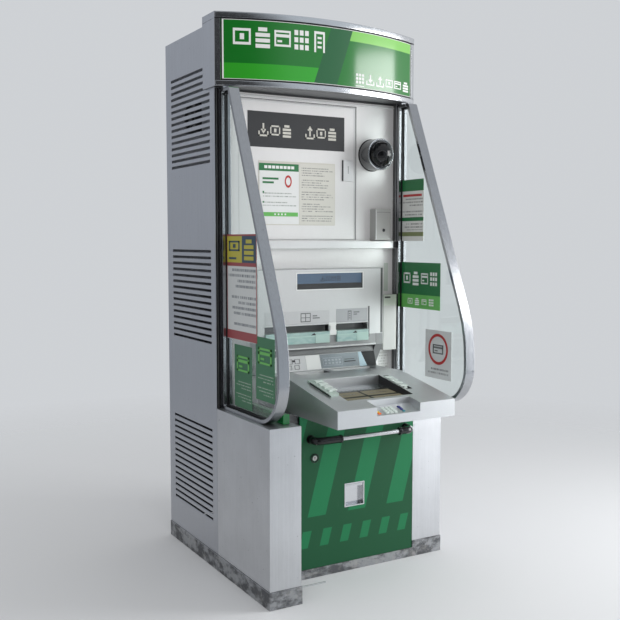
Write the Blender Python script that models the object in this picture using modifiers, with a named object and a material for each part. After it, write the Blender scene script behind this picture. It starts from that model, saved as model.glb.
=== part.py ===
"""Cash machine in a free-standing steel booth, with side glass wings and a lit header.

Metres, +Z up. The customer stands at -Y. The origin is on the floor, under the middle of the
whole machine. Lengths are written as a fitter measures them: x from the cabinet's left face,
depth from the cabinet's rear face towards the customer, and z from the floor.
"""
import math

import bmesh
import bpy
from mathutils import Matrix, Vector

# Fits
GAP = 0.0003                 # between faces that touch
SWING_GAP = 0.0006           # beside a hinge
KEY_PLAY = 0.0005            # round a key in its pocket
DOOR_PLAY = 0.0015           # round a door in its opening

# Cabinet
CABINET_WIDTH = 0.936
CABINET_DEPTH = 0.5234
CABINET_TOP = 2.200
SHEET = 0.003                # thickness of the folded steel sheets
FLANGE = 0.060               # front return of each side panel
PLINTH_HEIGHT = 0.067
PLINTH_WALL = 0.030
PLINTH_PROUD = 0.003

# Side louvres
LOUVRE_SLOTS = 15
LOUVRE_GROUPS = 3
SLOT_HEIGHT = 0.013
SLOT_PITCH = 0.0265
SLOT_MARGIN_REAR = 0.061
SLOT_MARGIN_FRONT = 0.046
GROUP_HEADROOM = 0.160       # from the top panel down to the first slot
GROUP_DROP = 0.7315
REAR_SLOTS = 8

# Piers that flank the lower door
PIER_TOP = 0.670
LEFT_PIER_WIDTH = 0.1316
LEFT_PIER_LENGTH = 0.460     # in front of the cabinet
RIGHT_PIER_LENGTH = 0.2606   # ends flush with the lower door
JAMB_PLAY = 0.0024           # from the jamb's edge to the lower door
JAMB_SETBACK = 0.014

# Wall behind the wings
WALL_RECESS = 0.0234         # behind the side panels' front returns
WALL_THICKNESS = 0.008
LEDGE_REACH = 0.030
LEDGE_RISE = 0.083           # above the module
LEDGE_HEIGHT = 0.032
SENSOR_X = 0.753
SENSOR_WIDTH = 0.081
SENSOR_REACH = 0.044
SENSOR_STAND = 0.004         # above the ledge
SENSOR_HEIGHT = 0.136

# Access door in the wall
ACCESS_X = 0.120
ACCESS_WIDTH = 0.552
ACCESS_STAND = 0.006         # above the ledge
ACCESS_HEADROOM = 0.0307     # under the header
LATCH_WIDTH = 0.0475
LATCH_HEIGHT = 0.089
LATCH_THICKNESS = 0.006
LATCH_INSET = 0.0135         # from the access door's free edge
LATCH_RISE = 0.0135          # of its middle above the access door's

# Dome camera
BARREL_X = 0.760
BARREL_DROP = 0.2287         # of its axis below the header
BARREL_RADIUS = 0.0676
BARREL_REACH = 0.072
DOME_RADIUS = 0.0556
DOME_PLAY = 0.0010
DOME_SETBACK = 0.004         # dome's centre behind the barrel's rim

# Header
HEADER_OVERHANG = 0.0106
HEADER_CAP = 0.0323          # above the top panel
HEADER_HEIGHT = 0.2846
HEADER_WRAP = 0.0901         # over the cabinet's sides
HEADER_CHEEK = 0.0284        # in front of the cabinet, where the bow starts
HEADER_BOW = 0.105
HEADER_WALL = 0.008
SIGN_RAIL_BELOW = 0.0227
SIGN_RAIL_ABOVE = 0.0247
SIGN_MARGIN = 0.0110
SIGN_SETBACK = 0.001
SIGN_THICKNESS = 0.004
HEADER_FACETS = 28
LAMP_WIDTH = 0.776
LAMP_DEPTH = 0.045
LAMP_HEIGHT = 0.040

# Wings
WING_INSET = 0.0192          # from the cabinet's side to the ring
WING_BAR_WIDTH = 0.0438
WING_BAR = 0.0145
WING_STANDOFF = 0.0116
WING_HEADROOM = 0.0077       # under the header
WING_TOP_LENGTH = 0.080      # along the top, from the rear leg's back
WING_LENGTH = 0.485          # at the widest
WING_BEND_RISE = 0.3096      # of the front leg's bend above the pier
WING_REAR_RADIUS = 0.020
WING_FOOT_RADIUS = 0.160
WING_BEND_RADIUS = 0.550
WING_TOP_RADIUS = 0.014
GLASS_THICKNESS = 0.008
RIB_WIDTH = 0.033

# Console
CONSOLE_X = 0.2023
CONSOLE_WIDTH = 0.5313
CONSOLE_LENGTH = 0.6215      # in front of the wall
CONSOLE_STAND = 0.0026       # above the piers
CONSOLE_EDGE = 0.0664        # height of the front edge
CONSOLE_RISE = 0.0648        # of the deck, from the front edge to the shelf
DECK_LENGTH = 0.3483         # level length of the sloping deck
CONSOLE_SKIN = 0.005
CONTROLS_X = 0.450           # centre line of screen, keys and keypad
SCREEN_WIDTH = 0.300
SCREEN_MARGIN = 0.0238       # behind the recess, from the shelf
SCREEN_LENGTH = 0.2355
SCREEN_DROP_REAR = 0.0420
SCREEN_DROP_FRONT = 0.0190
SCREEN_THICKNESS = 0.004
SCREEN_FIT = 0.0005
NOTE_TRAY = (0.485, 0.205, 0.098, 0.050)     # x, width, distance from the wall, length
COIN_TRAY = (0.305, 0.150, 0.103, 0.062)
TRAY_SINK = 0.014
KEYPAD_WELL_X = 0.373
KEYPAD_WELL_WIDTH = 0.195
KEYPAD_WELL_LENGTH = 0.0715
KEYPAD_WELL_SINK_REAR = 0.0245
KEYPAD_WELL_SINK_FRONT = 0.033

# Keys
KEY_TRAVEL = 0.002
KEY_STAND = 0.0035           # how far a key stands out
KEY_SUNK = 0.0025            # how far it reaches into its pocket
POCKET_SPARE = 0.001         # under a key that is pressed right down
SIDE_KEYS = 4
SIDE_KEY_WIDTH = 0.017
SIDE_KEY_LENGTH = 0.022
SIDE_KEY_PITCH = 0.0328
SIDE_KEY_MARGIN = 0.0728      # first key, from the shelf
SIDE_KEY_GAP = 0.024         # from the screen's edge to a key's middle
KEY_BLOCK_WIDTH = 0.062
KEY_BLOCK_LENGTH = 0.166
KEY_BLOCK_RISE = 0.010
KEY_STRIP_SINK = 0.006
PAD_KEY_WIDTH = 0.0150
PAD_KEY_LENGTH = 0.0088
PAD_COLUMN_PITCH = 0.0185
PAD_ROW_PITCH = 0.0118
PAD_COLUMNS = 3
PAD_ROWS = 4
PAD_MARGIN = 0.0205          # first row, from the well's rear
PAD_CENTRE_X = 0.4475
PAD_WING_OFFSET = 0.0550     # side columns of coloured keys

# Cash module that stands behind the console
CHEEK_WIDTH = 0.0373         # how far the module passes the console at each side
MODULE_DEPTH = 0.078
MODULE_HEIGHT = 0.4262       # above the console's shelf
LIP_RISE = 0.0922
LIP_SLOPE = 0.007
PANEL_FOOT = 0.085           # the graphic panel's foot and head, from the wall
PANEL_HEAD = 0.007
PANEL_RISE = 0.0642
CHEEK_RISE = 0.1412
CHEEK_DROP = 0.0138          # below the shelf
CHEEK_FOOT_DEPTH = 0.017
WINDOW_X = 0.341
WINDOW_WIDTH = 0.324
WINDOW_HEIGHT = 0.066
WINDOW_HEADROOM = 0.020
WINDOW_SINK = 0.002
PASSBOOK_SLOT = (0.194, 0.300)               # x, width
CARD_SLOT = (0.530, 0.161)
SLOT_RISE = 0.1132           # of the feed openings above the console's shelf
GUIDE_HEIGHT = 0.048
SLOT_GAP = 0.029             # between the guide and the opening's upper edge
GUIDE_PROUD = 0.010
UNIT_NOSE = 0.0397           # from the wall to the two feed units' faces
UNIT_REAR = 0.120
UNIT_HEIGHT = 0.0847
UNIT_DROP = 0.0017           # below the feed openings
MOUTH_HEIGHT = 0.006
MOUTH_DEPTH = 0.060
SHUTTER_THICKNESS = 0.003
SHUTTER_HEIGHT = 0.032
PORT_MARGIN = 0.014

# Leaflet holder
HOLDER_X = 0.792
HOLDER_WIDTH = 0.070
HOLDER_REACH = 0.052
HOLDER_STAND = 0.0582        # above the console's shelf
HOLDER_HEIGHT = 0.246
HOLDER_WALL = 0.002

# Inside the cabinet
SAFE_X = 0.200
SAFE_WIDTH = 0.540
SAFE_REAR = 0.060
SAFE_SETBACK = 0.084         # behind the lower door's face
SAFE_DROP = 0.070            # below the piers' top
SAFE_WALL = 0.010
SAFE_DOOR = 0.030
CASSETTES = 4
CASSETTE_STACK_HEADROOM = 0.100
CASSETTE_GROOVE = 0.006
TRANSPORT_X = 0.220
TRANSPORT_WIDTH = 0.500
TRANSPORT_REAR = 0.100
CONTROLLER_X = 0.230
CONTROLLER_WIDTH = 0.440
CONTROLLER_DEPTH = 0.300
CONTROLLER_HEIGHT = 0.180
FAN_SIZE = 0.120
FAN_DEPTH = 0.030
FAN_REAR = 0.200
FAN_HEADROOM = 0.280         # from the top panel
FAN_BORE = 0.054
FAN_BLADES = 7
FAN_BLADE_TIP = 0.051
FAN_HUB = 0.019
FAN_SPIDER = 0.005
FAN_END_PLAY = 0.0006

# Lower door
LOWER_DOOR_X = 0.238
LOWER_DOOR_RIGHT = 0.786
LOWER_DOOR_BOTTOM = 0.038
LOWER_DOOR_DROP = 0.010      # below the piers' top
LOWER_DOOR_THICKNESS = 0.008
PULL_X = 0.450
PULL_WIDTH = 0.086
PULL_BOTTOM = 0.270
PULL_HEIGHT = 0.088
PULL_DEPTH = 0.022
PULL_WALL = 0.002
LOCK_X = 0.304
LOCK_Z = 0.486
LOCK_RADIUS = 0.0100
LOCK_PLAY = 0.0007
LOCK_RING = 0.018
LOCK_RING_PROUD = 0.003
LOCK_LENGTH = 0.017
HANDLE_Z = 0.564
HANDLE_LEFT = 0.284
HANDLE_RIGHT = 0.744
HANDLE_STANDOFF = 0.052
HANDLE_RADIUS = 0.009
HANDLE_BEND = 0.028

# Rear service door
REAR_DOOR_THICKNESS = 0.004
REAR_DOOR_PLAY = 0.0033
REAR_DOOR_HEADROOM = 0.010

# Planes that follow from the sizes above: depths, then heights
WALL_FRONT = CABINET_DEPTH - WALL_RECESS
DOOR_PLANE = CABINET_DEPTH + RIGHT_PIER_LENGTH
LEFT_PIER_REACH = CABINET_DEPTH + LEFT_PIER_LENGTH
CONSOLE_REACH = WALL_FRONT + CONSOLE_LENGTH
CONSOLE_BREAK = CONSOLE_REACH - DECK_LENGTH
SCREEN_REAR = CONSOLE_BREAK + SCREEN_MARGIN
SCREEN_FRONT = SCREEN_REAR + SCREEN_LENGTH
KEYPAD_WELL_REAR = CONSOLE_REACH - KEYPAD_WELL_LENGTH
SIDE_KEY_FIRST = CONSOLE_BREAK + SIDE_KEY_MARGIN
PAD_FIRST_ROW = KEYPAD_WELL_REAR + PAD_MARGIN
MODULE_FRONT = WALL_FRONT + MODULE_DEPTH
UNIT_FACE = WALL_FRONT + UNIT_NOSE
SAFE_FRONT = DOOR_PLANE - SAFE_SETBACK
GROUP_TOP = CABINET_TOP - GROUP_HEADROOM
HEADER_TOP = CABINET_TOP + HEADER_CAP
HEADER_BOTTOM = HEADER_TOP - HEADER_HEIGHT
SIGN_BOTTOM = HEADER_BOTTOM + SIGN_RAIL_BELOW
SIGN_TOP = HEADER_TOP - SIGN_RAIL_ABOVE
WING_TOP = HEADER_BOTTOM - WING_HEADROOM
BARREL_Z = HEADER_BOTTOM - BARREL_DROP
LOWER_DOOR_TOP = PIER_TOP - LOWER_DOOR_DROP
SAFE_TOP = PIER_TOP - SAFE_DROP
CONSOLE_BOTTOM = PIER_TOP + CONSOLE_STAND
CONSOLE_NOSE = CONSOLE_BOTTOM + CONSOLE_EDGE
CONSOLE_TOP = CONSOLE_NOSE + CONSOLE_RISE
MODULE_TOP = CONSOLE_TOP + MODULE_HEIGHT
MODULE_LIP = CONSOLE_TOP + LIP_RISE
SLOT_BOTTOM = CONSOLE_TOP + SLOT_RISE
GUIDE_LEVEL = SLOT_BOTTOM + GUIDE_HEIGHT
SLOT_TOP = GUIDE_LEVEL + SLOT_GAP
UNIT_BOTTOM = SLOT_BOTTOM - UNIT_DROP
UNIT_TOP = UNIT_BOTTOM + UNIT_HEIGHT
HOLDER_BOTTOM = CONSOLE_TOP + HOLDER_STAND
POCKET_DEPTH = KEY_SUNK + KEY_TRAVEL + POCKET_SPARE
LEDGE_BOTTOM = MODULE_TOP + LEDGE_RISE
LEDGE_TOP = LEDGE_BOTTOM + LEDGE_HEIGHT
SENSOR_BOTTOM = LEDGE_TOP + SENSOR_STAND
ACCESS_BOTTOM = LEDGE_TOP + ACCESS_STAND
ACCESS_TOP = HEADER_BOTTOM - ACCESS_HEADROOM
LATCH_BOTTOM = (ACCESS_BOTTOM + ACCESS_TOP) / 2 + LATCH_RISE - LATCH_HEIGHT / 2
SIDE_KEY_OFFSET = SCREEN_WIDTH / 2 + SIDE_KEY_GAP

REAR_Y = CONSOLE_REACH / 2
LEFT_X = -CABINET_WIDTH / 2
DECK_SLOPE = math.atan2(CONSOLE_TOP - CONSOLE_NOSE, CONSOLE_REACH - CONSOLE_BREAK)
ROUND_FACETS = 32
FINE = 0.00001


def make_collection(name):
    """Return a new collection linked to the scene."""
    collection = bpy.data.collections.new(name)
    bpy.context.scene.collection.children.link(collection)
    return collection


def clear_scene():
    """Remove what the start-up file holds."""
    for obj in list(bpy.data.objects):
        bpy.data.objects.remove(obj, do_unlink=True)


clear_scene()
PARTS = make_collection("cash_machine")
CUTTERS = make_collection("cutters")


def make_material(name, colour, roughness, metallic):
    """Return a Principled material."""
    material = bpy.data.materials.new(name)
    material.use_nodes = True
    shader = material.node_tree.nodes["Principled BSDF"]
    shader.inputs["Base Color"].default_value = (*colour, 1.0)
    shader.inputs["Roughness"].default_value = roughness
    shader.inputs["Metallic"].default_value = metallic
    return material


STAINLESS = make_material("stainless", (0.60, 0.61, 0.62), 0.38, 1.0)
FASCIA = make_material("fascia", (0.72, 0.73, 0.74), 0.45, 0.2)
DARK_STEEL = make_material("dark_steel", (0.16, 0.16, 0.17), 0.60, 0.8)
GREEN = make_material("green_paint", (0.02, 0.26, 0.09), 0.35, 0.0)
SIGN_GREEN = make_material("sign_green", (0.02, 0.33, 0.08), 0.20, 0.0)
GLASS = make_material("glass", (0.75, 0.82, 0.80), 0.05, 0.0)
BLACK = make_material("black_plastic", (0.02, 0.02, 0.02), 0.30, 0.0)
KEY_GREEN = make_material("key_green", (0.62, 0.80, 0.72), 0.30, 0.0)
KEY_YELLOW = make_material("key_yellow", (0.80, 0.62, 0.05), 0.35, 0.0)
KEY_ORANGE = make_material("key_orange", (0.80, 0.16, 0.03), 0.35, 0.0)
KEY_NAVY = make_material("key_navy", (0.03, 0.04, 0.22), 0.35, 0.0)
KEY_TEAL = make_material("key_teal", (0.02, 0.28, 0.30), 0.35, 0.0)
WHITE = make_material("white_plastic", (0.80, 0.80, 0.78), 0.40, 0.0)
GREY = make_material("grey_plastic", (0.35, 0.36, 0.37), 0.50, 0.0)


def place(x, depth, z):
    """Turn fitter's measures into a point of the model."""
    return Vector((LEFT_X + x, REAR_Y - depth, z))


def new_object(name, mesh, material, location=(0.0, 0.0, 0.0)):
    """Link a mesh: a part where it has a material, a hidden tool where it has none."""
    obj = bpy.data.objects.new(name, mesh)
    obj.location = location
    if material is None:
        CUTTERS.objects.link(obj)
        obj.hide_render = True
        obj.display_type = "WIRE"
    else:
        PARTS.objects.link(obj)
        mesh.materials.clear()
        mesh.materials.append(material)
    return obj


def block(name, x, depth, z, material=None, origin=None):
    """Make a box from (low, high) pairs, with its origin at its centre or at a joint."""
    low = place(x[0], depth[1], z[0])
    high = place(x[1], depth[0], z[1])
    centre = (low + high) / 2
    pivot = centre if origin is None else origin
    mesh = bpy.data.meshes.new(name)
    bm = bmesh.new()
    size = Matrix.Diagonal((*(high - low), 1.0))
    bmesh.ops.create_cube(bm, size=1.0, matrix=Matrix.Translation(centre - pivot) @ size)
    bm.to_mesh(mesh)
    bm.free()
    return new_object(name, mesh, material, pivot)


def rod(name, centre, radius, length, axis, material=None, facets=ROUND_FACETS):
    """Make a cylinder about its centre, along the axis "x" or "depth"."""
    turn = Matrix.Rotation(math.pi / 2, 4, "Y" if axis == "x" else "X")
    mesh = bpy.data.meshes.new(name)
    bm = bmesh.new()
    bmesh.ops.create_cone(bm, cap_ends=True, segments=facets, radius1=radius, radius2=radius,
                          depth=length, matrix=turn)
    bm.to_mesh(mesh)
    bm.free()
    mesh.shade_smooth()
    mesh.set_sharp_from_angle(angle=math.radians(40))
    return new_object(name, mesh, material, centre)


def mesh_from_curve(guide):
    """Return a curve's welded mesh and remove the curve."""
    bpy.context.view_layer.update()
    evaluated = guide.evaluated_get(bpy.context.evaluated_depsgraph_get())
    mesh = bpy.data.meshes.new_from_object(evaluated)
    bm = bmesh.new()
    bm.from_mesh(mesh)
    bmesh.ops.remove_doubles(bm, verts=bm.verts, dist=FINE)
    bmesh.ops.recalc_face_normals(bm, faces=bm.faces)
    bm.to_mesh(mesh)
    bm.free()
    bpy.data.objects.remove(guide, do_unlink=True)
    return mesh


def prism(name, outlines, span, view, material=None):
    """Extrude flat outlines: "side" reads (depth, z), "plan" reads (x, depth)."""
    middle = (span[0] + span[1]) / 2
    if view == "side":
        columns = (Vector((0, -1, 0)), Vector((0, 0, 1)), Vector((-1, 0, 0)), place(middle, 0, 0))
    else:
        columns = (Vector((1, 0, 0)), Vector((0, -1, 0)), Vector((0, 0, -1)), place(0, 0, middle))
    frame = Matrix.Identity(4)
    for index, column in enumerate(columns):
        frame.col[index] = (*column, 1.0 if index == 3 else 0.0)
    curve = bpy.data.curves.new(name, "CURVE")
    curve.dimensions = "2D"
    curve.fill_mode = "BOTH"
    curve.extrude = (span[1] - span[0]) / 2
    for outline in outlines:
        spline = curve.splines.new("POLY")
        spline.points.add(len(outline) - 1)
        for point, (first, second) in zip(spline.points, outline):
            point.co = (first, second, 0.0, 1.0)
        spline.use_cyclic_u = True
    guide = bpy.data.objects.new(name + "_guide", curve)
    CUTTERS.objects.link(guide)
    obj = new_object(name, mesh_from_curve(guide), material)
    obj.matrix_world = frame
    return obj


def rectangle(x, depth):
    """Return a closed rectangle for a plan outline."""
    return [(x[0], depth[0]), (x[1], depth[0]), (x[1], depth[1]), (x[0], depth[1])]


def combine(target, tool, operation):
    """Cut the tool out of the target, or join it on."""
    modifier = target.modifiers.new(tool.name, "BOOLEAN")
    modifier.operation = operation
    modifier.object = tool
    return target


def cut(target, *tools):
    """Cut each tool out of the target."""
    for tool in tools:
        combine(target, tool, "DIFFERENCE")
    return target


def join(target, *tools):
    """Join each tool to the target."""
    for tool in tools:
        combine(target, tool, "UNION")
    return target


def repeat(obj, count, offset):
    """Repeat a tool by a constant step."""
    modifier = obj.modifiers.new("row", "ARRAY")
    modifier.count = count
    modifier.use_relative_offset = False
    modifier.use_constant_offset = True
    modifier.constant_offset_displace = offset
    modifier.merge_threshold = FINE
    return obj


def mirrored(span):
    """Return an x span mirrored in the cabinet's middle."""
    return (CABINET_WIDTH - span[1], CABINET_WIDTH - span[0])


# Cabinet

def build_plinth():
    """Dark folded channel base, an L with one bay under each stack of the booth."""
    proud = PLINTH_PROUD
    wall = PLINTH_WALL
    right = CABINET_WIDTH + proud
    outer = [(-proud, 0.0), (right, 0.0), (right, DOOR_PLANE + proud),
             (LEFT_PIER_WIDTH + proud, DOOR_PLANE + proud),
             (LEFT_PIER_WIDTH + proud, LEFT_PIER_REACH + proud), (-proud, LEFT_PIER_REACH + proud)]
    rear_bay = rectangle((wall, CABINET_WIDTH - wall), (wall, CABINET_DEPTH - wall))
    door_bay = rectangle((LEFT_PIER_WIDTH + wall, CABINET_WIDTH - wall),
                         (CABINET_DEPTH, DOOR_PLANE - 2 * wall))
    pier_bay = rectangle((wall, LEFT_PIER_WIDTH - wall), (CABINET_DEPTH, LEFT_PIER_REACH - wall))
    plinth = prism("plinth", [outer, rear_bay, door_bay, pier_bay], (0.0, PLINTH_HEIGHT), "plan",
                   DARK_STEEL)
    step_rear = DOOR_PLANE - LOWER_DOOR_THICKNESS - PULL_DEPTH
    step = block("plinth_step", (LEFT_PIER_WIDTH + proud, LOWER_DOOR_RIGHT + SWING_GAP),
                 (step_rear, DOOR_PLANE + 2 * proud), (LOWER_DOOR_BOTTOM - GAP, PLINTH_HEIGHT * 2))
    cut(plinth, step)


def build_side_panel(name, side):
    """Louvred side sheet with a front return and the rubber-faced rib that carries the wing."""
    def across(span):
        return span if side == "left" else mirrored(span)

    bottom = PLINTH_HEIGHT + GAP
    panel = block(name, across((0.0, SHEET)), (0.0, CABINET_DEPTH), (bottom, CABINET_TOP), STAINLESS)
    flange = block(name + "_flange", across((0.0, FLANGE)),
                   (CABINET_DEPTH - SHEET, CABINET_DEPTH), (bottom, CABINET_TOP))
    rib_x = WING_INSET + (WING_BAR_WIDTH - RIB_WIDTH) / 2
    rib = block(name + "_rib", across((rib_x, rib_x + RIB_WIDTH)),
                (CABINET_DEPTH - SHEET / 2, CABINET_DEPTH + WING_STANDOFF - GAP),
                (PIER_TOP + WING_REAR_RADIUS, WING_TOP - WING_TOP_RADIUS))
    slot = block(name + "_slot", across((-SHEET, 2 * SHEET)),
                 (SLOT_MARGIN_REAR, CABINET_DEPTH - SLOT_MARGIN_FRONT),
                 (GROUP_TOP - SLOT_HEIGHT, GROUP_TOP))
    repeat(slot, LOUVRE_SLOTS, (0, 0, -SLOT_PITCH))
    repeat(slot, LOUVRE_GROUPS, (0, 0, -GROUP_DROP))
    join(panel, flange, rib)
    cut(panel, slot)


def build_top_panel():
    """Flat sheet between the two side panels."""
    edge = SHEET + GAP
    block("top_panel", (edge, CABINET_WIDTH - edge), (0.0, CABINET_DEPTH - SHEET - GAP),
          (CABINET_TOP - SHEET, CABINET_TOP), STAINLESS)


def build_piers():
    """Sheet boxes at each side of the lower door, the left one with the door's dark jamb."""
    bottom = PLINTH_HEIGHT + GAP
    rear = CABINET_DEPTH + GAP
    left = block("left_pier", (0.0, LEFT_PIER_WIDTH), (rear, LEFT_PIER_REACH), (bottom, PIER_TOP),
                 STAINLESS)
    jamb_face = DOOR_PLANE - JAMB_SETBACK
    jamb = block("left_pier_jamb", (LEFT_PIER_WIDTH - SHEET / 2, LOWER_DOOR_X - JAMB_PLAY),
                 (jamb_face - SHEET, jamb_face), (bottom, PIER_TOP))
    left_hollow = block("left_pier_hollow", (SHEET, LEFT_PIER_WIDTH - SHEET),
                        (rear + SHEET, LEFT_PIER_REACH - SHEET), (bottom - SHEET, PIER_TOP - SHEET))
    cut(left, left_hollow)
    join(left, jamb)
    inner = LOWER_DOOR_RIGHT + SWING_GAP
    right = block("right_pier", (inner, CABINET_WIDTH), (rear, DOOR_PLANE), (bottom, PIER_TOP),
                  STAINLESS)
    right_hollow = block("right_pier_hollow", (inner + SHEET, CABINET_WIDTH - SHEET),
                         (rear + SHEET, DOOR_PLANE - SHEET), (bottom - SHEET, PIER_TOP - SHEET))
    cut(right, right_hollow)


def build_wall():
    """Painted wall behind the wings, with its ledge, sensor box and camera barrel."""
    back = WALL_FRONT - WALL_THICKNESS
    edge = FLANGE + GAP
    wall = block("fascia_wall", (edge, CABINET_WIDTH - edge), (back, WALL_FRONT),
                 (SAFE_TOP + GAP, CABINET_TOP - SHEET - GAP), FASCIA)
    root = WALL_FRONT - WALL_THICKNESS / 2
    ledge = block("wall_ledge", (edge, CABINET_WIDTH - edge), (root, WALL_FRONT + LEDGE_REACH),
                  (LEDGE_BOTTOM, LEDGE_TOP))
    sensor = block("wall_sensor", (SENSOR_X, SENSOR_X + SENSOR_WIDTH),
                   (root, WALL_FRONT + SENSOR_REACH), (SENSOR_BOTTOM, SENSOR_BOTTOM + SENSOR_HEIGHT))
    barrel_length = BARREL_REACH + WALL_THICKNESS / 2
    barrel = rod("wall_barrel", place(BARREL_X, root + barrel_length / 2, BARREL_Z), BARREL_RADIUS,
                 barrel_length, "depth")
    bore_depth = DOME_RADIUS + DOME_SETBACK
    bore = rod("wall_bore", place(BARREL_X, WALL_FRONT + BARREL_REACH, BARREL_Z),
               DOME_RADIUS + DOME_PLAY, 2 * bore_depth, "depth")
    doorway = block("wall_doorway", (ACCESS_X - SWING_GAP, ACCESS_X + ACCESS_WIDTH + DOOR_PLAY),
                    (back - SHEET, WALL_FRONT + SHEET),
                    (ACCESS_BOTTOM - DOOR_PLAY, ACCESS_TOP + DOOR_PLAY))
    port = block("wall_port", (PASSBOOK_SLOT[0] - PORT_MARGIN, sum(CARD_SLOT) + PORT_MARGIN),
                 (back - SHEET, WALL_FRONT + SHEET), (UNIT_BOTTOM - GAP, UNIT_TOP + SHEET))
    join(wall, ledge, sensor, barrel)
    cut(wall, bore, doorway, port)


def build_camera_dome():
    """Glossy black ball that turns in the barrel."""
    centre = place(BARREL_X, WALL_FRONT + BARREL_REACH - DOME_SETBACK, BARREL_Z)
    mesh = bpy.data.meshes.new("camera_dome")
    bm = bmesh.new()
    bmesh.ops.create_uvsphere(bm, u_segments=ROUND_FACETS, v_segments=ROUND_FACETS // 2,
                              radius=DOME_RADIUS)
    bm.to_mesh(mesh)
    bm.free()
    mesh.shade_smooth()
    new_object("camera_dome", mesh, BLACK, centre)


def build_access_door():
    """Flush door in the wall, hinged at its left edge, with its paddle latch."""
    hinge = place(ACCESS_X, WALL_FRONT, ACCESS_BOTTOM)
    block("access_door", (ACCESS_X, ACCESS_X + ACCESS_WIDTH),
          (WALL_FRONT - WALL_THICKNESS, WALL_FRONT), (ACCESS_BOTTOM, ACCESS_TOP),
          FASCIA, hinge)
    latch_right = ACCESS_X + ACCESS_WIDTH - LATCH_INSET
    latch_rear = WALL_FRONT + GAP
    latch_top = LATCH_BOTTOM + LATCH_HEIGHT
    pivot = place(latch_right - LATCH_WIDTH / 2, latch_rear + LATCH_THICKNESS / 2, latch_top)
    block("access_latch", (latch_right - LATCH_WIDTH, latch_right),
          (latch_rear, latch_rear + LATCH_THICKNESS), (LATCH_BOTTOM, latch_top), WHITE, pivot)


def build_rear_door():
    """Service door that closes the cabinet's back, hinged at its left edge."""
    edge = SHEET + SWING_GAP
    bottom = PLINTH_HEIGHT + REAR_DOOR_PLAY
    hinge = place(edge, 0.0, bottom)
    door = block("rear_door", (edge, CABINET_WIDTH - edge), (0.0, REAR_DOOR_THICKNESS),
                 (bottom, CABINET_TOP - REAR_DOOR_HEADROOM), STAINLESS, hinge)
    third = CABINET_WIDTH / 3
    slot = block("rear_door_slot", (third, 2 * third), (-SHEET, 2 * REAR_DOOR_THICKNESS),
                 (GROUP_TOP - SLOT_HEIGHT, GROUP_TOP))
    cut(door, repeat(slot, REAR_SLOTS, (0, 0, -SLOT_PITCH)))


# Header

def bow_outline(inset, side_inset, rear):
    """Plan outline of the header: straight sides and a bowed front, moved in by an inset."""
    half = CABINET_WIDTH / 2 + HEADER_OVERHANG
    radius = (half ** 2 + HEADER_BOW ** 2) / (2 * HEADER_BOW)
    centre_depth = CABINET_DEPTH + HEADER_CHEEK + HEADER_BOW - radius
    reach = half - side_inset
    limit = math.asin(reach / (radius - inset))
    front = []
    for step in range(HEADER_FACETS + 1):
        angle = limit - 2 * limit * step / HEADER_FACETS
        front.append((CABINET_WIDTH / 2 + (radius - inset) * math.sin(angle),
                      centre_depth + (radius - inset) * math.cos(angle)))
    return [(CABINET_WIDTH / 2 - reach, rear), (CABINET_WIDTH / 2 + reach, rear)] + front


def bow_strip(inner, outer, side_inset):
    """Plan outline of a curved strip that lies between two insets of the bow."""
    front = bow_outline(outer, side_inset, 0.0)[2:]
    back = bow_outline(inner, side_inset, 0.0)[2:]
    return front + back[::-1]


def build_header():
    """Bowed housing that wraps the cabinet's top, its sign panel and its lamp."""
    housing = prism("header_housing", [bow_outline(0.0, 0.0, CABINET_DEPTH - HEADER_WRAP)],
                    (HEADER_BOTTOM, HEADER_TOP), "plan", STAINLESS)
    tongue_x = FLANGE + 2 * GAP
    notch_depth = CABINET_DEPTH + GAP
    notch_outline = [(-GAP, 0.0), (CABINET_WIDTH + GAP, 0.0), (CABINET_WIDTH + GAP, notch_depth),
                     (CABINET_WIDTH - tongue_x, notch_depth),
                     (CABINET_WIDTH - tongue_x, WALL_FRONT + GAP), (tongue_x, WALL_FRONT + GAP),
                     (tongue_x, notch_depth), (-GAP, notch_depth)]
    notch = prism("header_notch", [notch_outline], (HEADER_BOTTOM - SHEET, CABINET_TOP + GAP), "plan")
    floor = HEADER_BOTTOM + HEADER_WALL
    cavity = prism("header_cavity", [bow_outline(HEADER_WALL, 2 * HEADER_WALL, WALL_FRONT - SHEET)],
                   (floor, HEADER_TOP - HEADER_WALL), "plan")
    top_relief = HEADER_TOP - CABINET_TOP - GAP
    window = prism("header_window", [bow_strip(2 * HEADER_WALL, -HEADER_WALL,
                                               HEADER_OVERHANG + SIGN_MARGIN)],
                   (SIGN_BOTTOM, SIGN_TOP), "plan")
    shelf = block("header_shelf", (0.0, CABINET_WIDTH), (WALL_FRONT - 2 * SHEET, notch_depth),
                  (CABINET_TOP + GAP, HEADER_TOP - min(HEADER_WALL, top_relief / 2)))
    cut(housing, notch, cavity, window)
    join(housing, shelf)
    margin = HEADER_OVERHANG + SIGN_MARGIN + GAP
    prism("header_sign", [bow_strip(SIGN_SETBACK + SIGN_THICKNESS, SIGN_SETBACK, margin)],
          (SIGN_BOTTOM + GAP, SIGN_TOP - GAP), "plan", SIGN_GREEN)
    lamp_x = (CABINET_WIDTH - LAMP_WIDTH) / 2
    lamp_z = (SIGN_BOTTOM + SIGN_TOP - LAMP_HEIGHT) / 2
    block("header_lamp", (lamp_x, lamp_x + LAMP_WIDTH),
          (WALL_FRONT + GAP, WALL_FRONT + GAP + LAMP_DEPTH), (lamp_z, lamp_z + LAMP_HEIGHT), WHITE)


# Wings

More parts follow.
